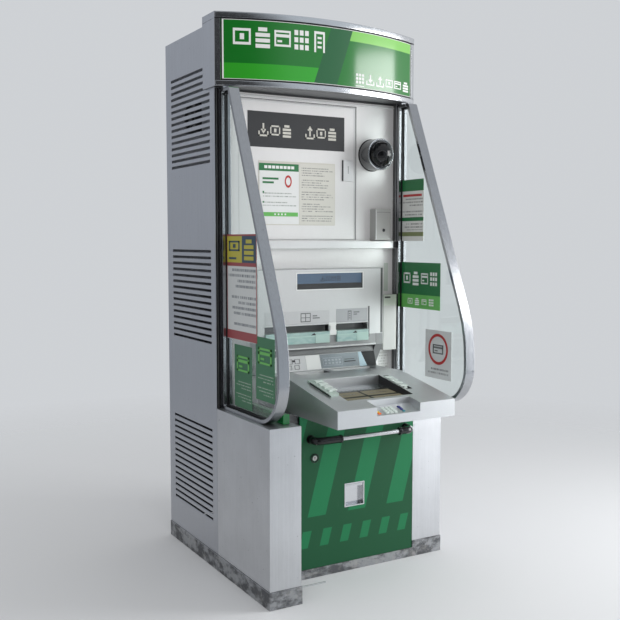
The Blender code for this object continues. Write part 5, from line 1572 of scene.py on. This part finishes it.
    def build_feeds(self) -> None:
        """Acrylic guides with a painted highlight on their tops, a notch and an end block, dark backs, and
        the block between.
        """
        guide = (Coat.acrylic, lambda normal, centre: self.on_guide(centre))
        # The guides' upward faces get a paler acrylic: painted highlight.
        pale = (Coat.acrylic_pale, lambda normal, centre: normal.z > 0.6 and self.on_guide(centre,
            self.guide_z - 0.004))
        clear = Plastic("acrylic_end", colour=(0.46, 0.63, 0.58), roughness=0.2, texture=0.02, coat=0.6)
        floor, roof = self.slot_z[0] + 0.0006, self.guide_z - 0.0006
        for name, unit, share, (low, high) in (("passbook", "passbook_printer", 0.235, self.slots[0]),
                ("card", "card_reader", 0.38, self.slots[1])):
            split = high - (high - low) * share
            profile = ((0.5455, roof), (0.588, roof - 0.0105), (0.589, roof - 0.0125), (0.589, floor),
                (0.5455, floor))
            lip = Bench.wedge(((0.566, roof - 0.0085), (0.5885, roof - 0.015), (0.5885, roof - 0.019),
                (0.566, roof - 0.0125)), (low + 0.0012, split - 0.0006), Axis.X, 0.0006)
            end = Bench.wedge(profile, (split, high - 0.0012), Axis.X, 0.001)
            Shop.soften(unit, Coat.grey, 0.0006, 2, [guide, pale])
            Shop.add(name + "_guide_end", clear, end, lip, slot="key_green")
            notch = Bench.wedge(((split - 0.022, roof - 0.012), (split + 0.002, roof - 0.012),
                (split - 0.006, roof - 0.003)), (0.584, 0.5893), Axis.Y, 0.0004)
            Shop.add(name + "_guide_notch", Coat.dark, notch)
            shutter = name + "_shutter"
            Shop.soften(shutter, Coat.mid_dark, 0.0005, body=shutter, slot="dark_steel")
        steps = [Bench.block(x, (self.front - 0.001, self.front + proud), z, edge, 3) for x, proud, z,
            edge in (((0.4985, 0.5255), 0.006, (0.948, 0.989), 0.0014), ((0.4945, 0.5295), 0.0075,
            (0.948, 0.969), 0.0014), ((0.4925, 0.53), 0.0035, (0.988, 1.001), 0.0012))]
        Shop.add("feed_divider", Coat.film_white, *steps)

    def on_panel(self, lift: float, thick: float) -> Placer:
        """A placer of bars on the graphic panel: x, and distance up the slope from its foot."""
        (d0, z0), (d1, z1) = self.panel_foot, self.panel_head
        length = math.hypot(d1 - d0, z1 - z0)
        up, out = ((d1 - d0) / length, (z1 - z0) / length), ((z1 - z0) / length, (d0 - d1) / length)

        def place(x: Span, v: Span) -> Piece:
            """A bar that lies on the slope."""
            corners = [(d0 + up[0] * t + out[0] * s, z0 + up[1] * t + out[1] * s) for t,
                s in ((v[0], lift - thick), (v[1], lift - thick), (v[1], lift), (v[0], lift))]
            return Bench.wedge(corners, x, Axis.X)

        return place

    def build_panel(self) -> None:
        """Graphic panel: icons, white card, silver field with an embossed pad, pale wedge."""
        foot, head, high = self.panel_foot, self.panel_head, self.panel_high
        back = Bench.wedge(((0.57, foot[1]), foot, head, (0.561, 0.869), (0.56, 0.889), (0.51, 0.869)),
            (0.203, 0.733), Axis.X, 0.0006)
        back.data.materials.append(Coat.module.material())
        # The band under the lip gets darker grey: painted shade.
        Bench.paint(back, Coat.cheek, lambda normal, centre: centre.z > head[1] + 0.0005)
        Shop.add("panel_back", Coat.module, back)
        place = self.on_panel(0.001, 0.0014)
        Shop.films("panel_card", Coat.film_white, place, (0.385, 0.4535, 0.003, high))
        Shop.films("panel_field", FlakePaint("panel_silver", colour=(0.22, 0.245, 0.26), flake=0.08,
            metallic=0.6, roughness=0.3), place, (0.456, 0.645, 0.004, high))
        wedge = self.on_panel(0.0016, 0.0014)((0.6475, 0.684), (0.001, high))
        for vertex in wedge.data.vertices:
            if vertex.co.z > foot[1] + 0.03 and vertex.co.x - Datum.left > 0.67:
                vertex.co.x -= 0.02
        Shop.add("panel_wedge", Coat.film_sky, wedge)
        Shop.films("panel_shade", Coat.rubber, place, (0.6645, 0.7328, 0.0, 0.0645))
        raised = self.on_panel(0.002, 0.0012)
        pad = rim((0.467, 0.563), (0.014, 0.048), 0.0022, raised)
        pad += [raised((0.4745 + x, 0.486 + x), (0.02 + v, 0.028 + v)) for v in (0.0, 0.013)
            for x in (0.0175 * column for column in range(5))]
        Shop.add("panel_pad", FlakePaint("pad_silver", colour=(0.33, 0.36, 0.38), metallic=0.6,
            roughness=0.3), *pad)
        Shop.films("panel_slot", Coat.dark, raised, (0.572, 0.629, 0.024, 0.029),
            (0.575, 0.625, 0.035, 0.0372), (0.32, 0.334, 0.04, 0.048))
        Shop.add("panel_icons", Coat.ink,
            *[bar for low in (0.296, 0.332) for bar in (rim((low, low + 0.024), (0.032, 0.052), 0.0016,
            raised) + rim((low - 0.004, low + 0.018), (0.008, 0.026), 0.0016, raised))])


@dataclass
class Console:
    """Desk with its screen, trays and keys."""

    screen_x: Span = (0.3005, 0.5995)
    screen_d: Span = (0.7975, 1.032)
    key_block_x: Span = (0.2535, 0.2985)
    strip_x: Span = (0.6005, 0.656)
    deck_d: Span = (0.7732, 1.1215)
    deck_z: Span = (0.8038, 0.739)
    tile: Span = (0.134, 0.062)

    def deck(self, depth: float) -> float:
        """Height of the desk's surface at a depth."""
        (rear, front), (high, low) = self.deck_d, self.deck_z
        return high if depth < rear else high - (depth - rear) * (high - low) / (front - rear)

    def build(self) -> None:
        """Builds the console."""
        wall = (Coat.dark, lambda normal, centre: normal.x < -0.9 and centre.z > 0.715
            and abs(centre.x - Datum.left - self.screen_x[1]) < 0.002)
        # The trays' left-facing side walls get slate grey: painted shade.
        ends = (Coat.mid_dark, lambda normal, centre: normal.x < -0.9 and 0.785 < centre.z < 0.8035
            and 0.59 < Datum.rear - centre.y < 0.68)
        # Tray floors and rear walls get light trim: painted highlight.
        Shop.soften("console_body", Coat.deck, 0.0012, 2, [(Coat.key_case, self.in_key_block),
            (Coat.dark, self.in_strip), wall, (Coat.light_trim, self.tray_highlight_face), ends])
        Shop.soften("console_screen", Coat.screen, 0.0006)
        self.build_tiles()
        self.build_trim()
        self.build_keys()

    def in_key_block(self, normal: Vector, centre: Vector) -> bool:
        """Whether a face belongs to the raised block of keys."""
        x, depth = centre.x - Datum.left, Datum.rear - centre.y
        lift = centre.z - self.deck(depth)
        return (self.key_block_x[0] < x < self.key_block_x[1] and 0.8 < depth < 1.01 and lift > 0.0012
            and (normal.z < 0.99 or lift > 0.004))

    def in_strip(self, normal: Vector, centre: Vector) -> bool:
        """Whether a face belongs to the sunk strip of keys."""
        x, depth = centre.x - Datum.left, Datum.rear - centre.y
        return (self.strip_x[0] + 0.004 < x < self.strip_x[1] and 0.8 < depth < 1.02 and self.deck(depth)
            - 0.016 < centre.z < self.deck(depth) - 0.0012)

    def tray_highlight_face(self, normal: Vector, centre: Vector) -> bool:
        """Whether a face is the floor or the rear wall of a tray, which get a painted highlight."""
        depth = Datum.rear - centre.y
        return (normal.z > 0.9 or normal.y < -0.9) and 0.59 < depth < 0.68 and 0.77 < centre.z < 0.803

    def on_screen(self, lift: float, thick: float) -> Placer:
        """A placer of bars on the screen: x, and depth."""
        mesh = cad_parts["console_screen"].data
        first, last = self.screen_d
        rear = max(v.co.z for v in mesh.vertices if Datum.rear - v.co.y < first + 0.002)
        front = max(v.co.z for v in mesh.vertices if Datum.rear - v.co.y > last - 0.002)
        slope = (front - rear) / (last - first)

        def place(x: Span, depth: Span) -> Piece:
            """A bar that lies on the screen."""
            low, high = (rear + (end - first) * slope + lift for end in depth)
            return Bench.wedge(((depth[0], low - thick), (depth[1], high - thick), (depth[1], high),
                (depth[0], low)), x, Axis.X)

        return place

    def build_tiles(self) -> None:
        """Four touch areas with a mark each, and a pale bar behind them."""
        mark = self.on_screen(0.001, 0.0006)
        corners = [(x, depth) for x in (0.307, 0.453) for depth in (0.88, 0.958)]
        Shop.films("screen_tiles", Coat.button, self.on_screen(0.0006, 0.0008),
            *[(x, x + self.tile[0], depth, depth + self.tile[1]) for x, depth in corners])
        Shop.films("screen_cross", Plastic("screen_cross_tint", colour=(0.014, 0.022, 0.02), shine=0.1),
            self.on_screen(0.0004, 0.0006), (0.303, 0.5965, 0.938, 0.962), (0.438, 0.456, 0.876, 1.024),
            (0.303, 0.5965, 0.87, 0.88), slot="screen")
        Shop.films("screen_marks", Plastic("screen_ink", colour=(0.06, 0.055, 0.035), roughness=0.3), mark,
            *[(x + 0.03 + index * 0.016, x + 0.041 + index * 0.016, depth + 0.026, depth + 0.038) for x,
            depth in corners for index in range(5)], slot="screen")
        Shop.films("screen_bar", Plastic("screen_bar_tint", colour=(0.12, 0.14, 0.15), roughness=0.3), mark,
            *[(0.315 + 0.018 * index, 0.328 + 0.018 * index, 0.852, 0.862) for index in range(14)],
            slot="screen")

    def build_trim(self) -> None:
        """Painted highlights along the recess's edges, and painted shade in the mouth of the key block."""
        left, right = self.screen_x[0] - 0.0045, self.screen_x[0] - 0.0005
        # Light strips along the recess's left and rear edges: painted highlight.
        Shop.add("recess_edges", Coat.light_trim, *[Bench.wedge(self.tilted(depth, -0.0006, 0.0004), x,
            Axis.X, 0.0003) for depth, x in (((0.792, 1.034), (left, right)),
            ((0.792, 0.7968), (right, self.screen_x[1])))])
        rear, front = 0.832, 0.988
        # A dark plate in the key block's mouth: painted shade.
        mouth = Bench.wedge((*self.tilted((rear, front), 0.0012, 0.0)[:2],
            (front, self.deck(front) + 0.007), (rear, self.deck(rear) + 0.0078)),
            (self.key_block_x[0] + 0.0003, self.key_block_x[0] + 0.0016), Axis.X)
        Shop.add("key_block_mouth", Coat.dark, mouth)

    def tilted(self, depth: Span, low: float, high: float) -> list[tuple[float, float]]:
        """Outline, from the side, of a bar between two heights above the deck."""
        rear, front = (self.deck(end) for end in depth)
        return [(depth[0], rear + low), (depth[1], front + low), (depth[1], front + high),
            (depth[0], rear + high)]

    def build_keys(self) -> None:
        """Rounded keys in their colours, with wide caps on the side keys."""
        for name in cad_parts:
            if name.startswith(("left_key_", "right_key_", "pad_key_")):
                Shop.soften(name, Coat.key_green, 0.0013, 3, body=name)
        for index in range(1, 5):
            first = 0.8347 + 0.0328 * (index - 1)
            span = (first - 0.0005, first + 0.0215)
            Shop.add(f"left_key_cap_{index}", Coat.key_green, Bench.wedge(self.tilted(span, 0.0128, 0.0166),
                (0.269, 0.305), Axis.X, 0.0016), body=f"left_key_{index}")
            Shop.add(f"right_key_cap_{index}", Coat.key_green,
                Bench.wedge(self.tilted(span, 0.0022, 0.0066), (0.6, 0.633), Axis.X, 0.0016),
                Bench.wedge(self.tilted((first + 0.002, first + 0.019), -0.004, 0.0026), (0.6165, 0.6315),
                Axis.X), body=f"right_key_{index}")
        for name, finish in (("yellow_key", Coat.key_yellow), ("orange_key", Coat.key_orange),
                ("navy_key", Coat.key_navy), ("teal_key", Coat.key_teal)):
            Shop.soften(name, finish, 0.0015, 3, body=name, slot=name)


@dataclass
class Base:
    """Piers, lower door with its lock, pull and handle, and the rail on the left pier."""

    face: float = 0.784
    pull_x: Span = (0.45, 0.536)
    pull_z: Span = (0.27, 0.358)
    lock: Span = (0.304, 0.486)
    handle_x: Span = (0.284, 0.744)
    handle_z: float = 0.564
    handle_d: float = 0.836
    bend: float = 0.028

    def build(self) -> None:
        """Builds the base."""
        # Front-facing faces deep in the left pier get slate grey: painted shade in its hollow.
        inside = (Coat.mid_dark, lambda normal, centre: normal.y < -0.9 and centre.x < 0.0 and Datum.rear
            - centre.y < 0.8)
        for name in ("left_pier", "right_pier"):
            Shop.soften(name, Coat.pier, 0.0016, 3, [inside])
        Shop.soften("lower_door", Coat.door, 0.0014, 2, [(Coat.cap, self.in_pull)], body="lower_door")
        self.build_pull()
        self.build_lock()
        self.build_handle()
        rail = Plastic("rail_green", colour=(0.006, 0.19, 0.04), roughness=0.12, texture=0.02, coat=1.0)
        Shop.blocks("pier_rail", rail, (0.079, 0.107, 0.548, 0.94, 0.6712, 0.709), edge=0.0024, segments=3,
            slot="green_paint")

    def in_pull(self, normal: Vector, centre: Vector) -> bool:
        """Whether a face is inside the door's pull."""
        (left, right), (foot, head) = self.pull_x, self.pull_z
        return (left - 0.0006 < centre.x - Datum.left < right + 0.0006 and foot - 0.0006 < centre.z < head
            + 0.0006 and 0.761 < Datum.rear - centre.y < 0.7836)

    def build_pull(self) -> None:
        """Bright frame round the recessed pull and its inner shadow lip."""
        (left, right), (foot, head), face = self.pull_x, self.pull_z, self.face
        Shop.add("pull_frame", Coat.cap, *rim((left - 0.005, right + 0.005), (foot - 0.005, head + 0.005),
            0.0048, lambda x, z: Bench.block(x, (face - 0.0006, face + 0.0014), z, 0.0005)),
            body="lower_door", slot="polished_steel")
        Shop.blocks("pull_lip", Coat.gold, (left + 0.001, right - 0.001, face - 0.02, face - 0.001,
            head - 0.012, head - 0.0008), edge=0.0012, body="lower_door")

    def build_lock(self) -> None:
        """White face, black ring and key slot."""
        x, z = self.lock
        Shop.add("lock_ring", Coat.gloss_black, Bench.hoop(at(x, self.face + 0.0022, z), AHEAD, 0.0158,
            0.0024, 48), body="lower_door")
        Shop.dress("lock_barrel", Coat.cap)
        Shop.add("lock_face", Coat.white, Bench.rod(at(x, 0.7868, z), at(x, 0.7878, z), 0.0094, 40, 0.0003),
            body="lock")
        slot = Bench.block((x - 0.0012, x + 0.0012), (0.7876, 0.7882), (z - 0.0052, z + 0.003))
        end = Bench.rod(at(x, 0.7876, z + 0.003), at(x, 0.7882, z + 0.003), 0.0026, 20)
        Shop.add("lock_slot", Coat.dark, slot, end, body="lock")

    def grip(self, side: int, reach: float) -> Piece:
        """A moulded grip round one bend of the handle.

        Args:
            side: 0 for the left bend and 1 for the right one.
            reach: How far it follows the handle's front run.

        Returns:
            The grip.
        """
        x, z, bend = self.handle_x[side], self.handle_z, self.bend
        sign = 1.0 if side == 0 else -1.0
        path = [at(x, 0.806, z)]
        for step in range(9):
            angle = math.radians(180.0 - 11.25 * step)
            path.append(at(x + sign * (bend + bend * math.cos(angle)), self.handle_d - bend
                + bend * math.sin(angle), z))
        end = at(x + sign * reach, self.handle_d, z)
        step = Vector((sign * 0.007, 0.0, 0.0))
        return Bench.join(Bench.cord([*path, end], 0.0155), Bench.rod(end - step, end + step * 0.3, 0.0168,
            40, 0.0014), Bench.rod(at(x, 0.801, z), at(x, 0.808, z), 0.0162, 40, 0.0014))

    def build_handle(self) -> None:
        """Steel rod with black grips at both bends and feet on the door."""
        Shop.dress("door_handle", Coat.rod)
        black, door = Coat.gloss_black, {"body": "lower_door"}
        Shop.add("handle_grip_left", black, self.grip(0, 0.112), **door)
        Shop.add("handle_grip_right", black, self.grip(1, 0.066), **door)
        Shop.add("handle_feet", black,
            *[Bench.rod(at(x, self.face, self.handle_z), at(x, self.face + 0.005, self.handle_z), 0.0175,
            40, 0.0012) for x in self.handle_x], **door)


@dataclass
class Interior:
    """What shows when the doors are open."""

    safe_face: float = 0.7303

    def build(self) -> None:
        """Builds the interior."""
        Shop.dress("safe_body", Coat.safe)
        Shop.soften("safe_door", Coat.safe, 0.002, 3)
        for name in ("cash_cassettes", "controller", "note_transport"):
            Shop.soften(name, Coat.works, 0.0015)
        for name in ("fan_frame", "fan_rotor"):
            Shop.dress(name, Coat.dark)
        self.build_safe_trim()

    def bar(self, x: Span, proud: Span, z: Span, radius: float, sides: int, edge: float) -> Piece:
        """A round bar that stands or lies in front of the safe's door."""
        ends = [at(x[end], self.safe_face + proud[end], z[end]) for end in (0, 1)]
        return Bench.rod(ends[0], ends[1], radius, sides, edge)

    def build_safe_trim(self) -> None:
        """Combination dial, lever, hinges and plate edges of the safe door."""
        face, z = self.safe_face, (0.36, 0.36)
        Shop.add("safe_dial", Coat.gloss_black, self.bar((0.4, 0.4), (-0.001, 0.008), z, 0.034, 48, 0.002),
            self.bar((0.4, 0.4), (0.007, 0.018), z, 0.017, 32, 0.002))
        ticks = [Bench.turned(Bench.block((0.3992, 0.4008), (face + 0.0079, face + 0.0084), (0.385, 0.392)),
            math.radians(30.0 * index), Axis.Y, at(0.4, face, 0.36)) for index in range(12)]
        Shop.add("safe_dial_ticks", Coat.film_white, *ticks)
        Shop.add("safe_lever", Coat.cap, self.bar((0.56, 0.56), (-0.001, 0.016), z, 0.018, 40, 0.002),
            self.bar((0.56, 0.642), (0.011, 0.011), (0.36, 0.322), 0.0075, 24, 0.002),
            slot="polished_steel")
        Shop.add("safe_hinges", Coat.gold, *[self.bar((0.2105, 0.2105), (0.006, 0.006), (foot, foot + 0.07),
            0.0075, 24, 0.001) for foot in (0.13, 0.47)])
        Shop.add("safe_edge", Coat.safe, *rim((0.226, 0.714), (0.095, 0.575), 0.006, lambda x,
            z: Bench.block(x, (face - 0.0006, face + 0.0022), z, 0.0008)))


@dataclass
class Machine:
    """The whole machine."""

    def build(self) -> None:
        """Builds every sub-assembly."""
        for part in (Carcass(), Header(), Wing("left"), Wing("right"), Wall(), CashModule(), Console(),
                     Base(), Interior()):
            part.build()


@dataclass
class Studio:
    """Pale room, soft lamps and the camera."""

    backdrop: Colour = (0.62, 0.64, 0.665)
    ambient: float = 0.58
    floor_colour: Colour = (0.82, 0.835, 0.855)
    floor_radius: Span = (0.8, 4.4)
    key_power: float = 80.0
    fill_power: float = 17.0
    lens: float = 51.28
    camera_at: tuple[float, float, float] = (-1.9052, -3.1986, 1.3477)
    camera_turn: tuple[float, float, float] = (85.49, 0.0, -30.04)

    def build(self) -> None:
        """Builds the world, the floor, the lamps and the camera."""
        self.build_world()
        self.build_floor()
        self.add_lamp("key", (2.75, -1.75, 1.45), (1.5, 2.6), self.key_power)
        self.add_lamp("fill", (-0.8, -3.4, 2.0), (1.8, 1.8), self.fill_power).visible_glossy = False
        self.add_camera()

    def build_world(self) -> None:
        """A pale backdrop for the eye and mirrors, darker in mirrors behind the camera."""
        world = bpy.data.worlds.new("studio")
        bpy.context.scene.world = world
        world.use_nodes = True
        graph = Graph(world.node_tree)
        seen = graph.node("LightPath", output="Is Camera Ray")
        clear = graph.node("LightPath", output="Is Transmission Ray")
        mirror = graph.node("LightPath", output="Is Glossy Ray")
        direction = graph.node("TexCoord", output="Generated")
        lobes = []
        for azimuth, edge, core in ((20.0, 0.55, 0.85), (-27.0, 0.78, 0.93), (-125.0, 0.1, 0.7)):
            angle = math.radians(azimuth)
            toward = graph.node("VectorMath", {"operation": "DOT_PRODUCT"},
                {0: direction, 1: (math.sin(angle), -math.cos(angle), 0.0)}, output="Value")
            lobes.append(graph.ramp(toward, (edge, 0.0), (core, 1.0)) * mirror)
        shown = (seen + clear + mirror).clamped()
        soft = graph.blend(shown, (self.ambient,) * 3, self.backdrop)
        for lobe, tint in zip(lobes, ((0.56, 0.61, 0.66), (0.03, 0.031, 0.034), (0.34, 0.36, 0.39))):
            soft = graph.blend(lobe, soft, tint)
        light = graph.node("Background", {}, {0: soft, 1: 1.0})
        graph.node("OutputWorld", {}, {"Surface": light})

    def build_floor(self) -> None:
        """A floor that fades into the backdrop far from the machine."""
        Bench.pick()
        bpy.ops.mesh.primitive_circle_add(vertices=96, radius=self.floor_radius[1], fill_type="NGON",
            location=(0.0, 0.0, -0.0005))
        floor = Bench.settle(bpy.context.object)
        floor.name = "floor"
        material = bpy.data.materials.new("studio_floor")
        material.use_nodes = True
        graph = Graph(material.node_tree)
        x, y = graph.axis(Axis.X), graph.axis(Axis.Y)
        radius = (x * x + y * y) ** 0.5
        fade = graph.ramp(radius / 10.0, (self.floor_radius[0] / 10.0, 0.0),
            (self.floor_radius[1] / 10.0 - 0.02, 1.0))
        dull = graph.noise(900.0, detail=2.0)
        paint = graph.surface(Base_Color=graph.blend(dull * 0.04, self.floor_colour, (0.5, 0.5, 0.5)),
            Roughness=0.75 + dull * 0.1, Specular_IOR_Level=0.2)
        clear = graph.node("BsdfTransparent")
        graph.finish(graph.node("MixShader", {}, {0: fade, 1: paint, 2: clear}))
        floor.data.materials.append(material)

    @staticmethod
    def add_lamp(name: str, place: tuple, size: Span, power: float, target: tuple = (0.0, 0.0,
            1.2)) -> Piece:
        """Adds a soft box that faces a point, and gives its object."""
        data = bpy.data.lights.new(name, "AREA")
        data.shape = "RECTANGLE"
        data.size, data.size_y = size
        data.energy = power
        lamp = bpy.data.objects.new(name, data)
        bpy.context.scene.collection.objects.link(lamp)
        lamp.location = place
        lamp.rotation_euler = (Vector(place) - Vector(target)).to_track_quat("Z", "Y").to_euler()
        return lamp

    def add_camera(self) -> None:
        """Adds the camera and makes it the scene's."""
        data = bpy.data.cameras.new("camera")
        data.lens = self.lens
        data.sensor_width = 36.0
        data.clip_end = 60.0
        camera = bpy.data.objects.new("camera", data)
        bpy.context.scene.collection.objects.link(camera)
        camera.location = self.camera_at
        camera.rotation_euler = Euler([math.radians(turn) for turn in self.camera_turn])
        bpy.context.scene.camera = camera


def main() -> None:
    """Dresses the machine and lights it."""
    logging.basicConfig(level=logging.INFO, format="%(name)s: %(message)s")
    Machine().build()
    Studio().build()
    bpy.context.scene.view_settings.view_transform = "Standard"
    LOG.info("%d pieces", len(Shop.made))


if __name__ == "__main__":
    main()
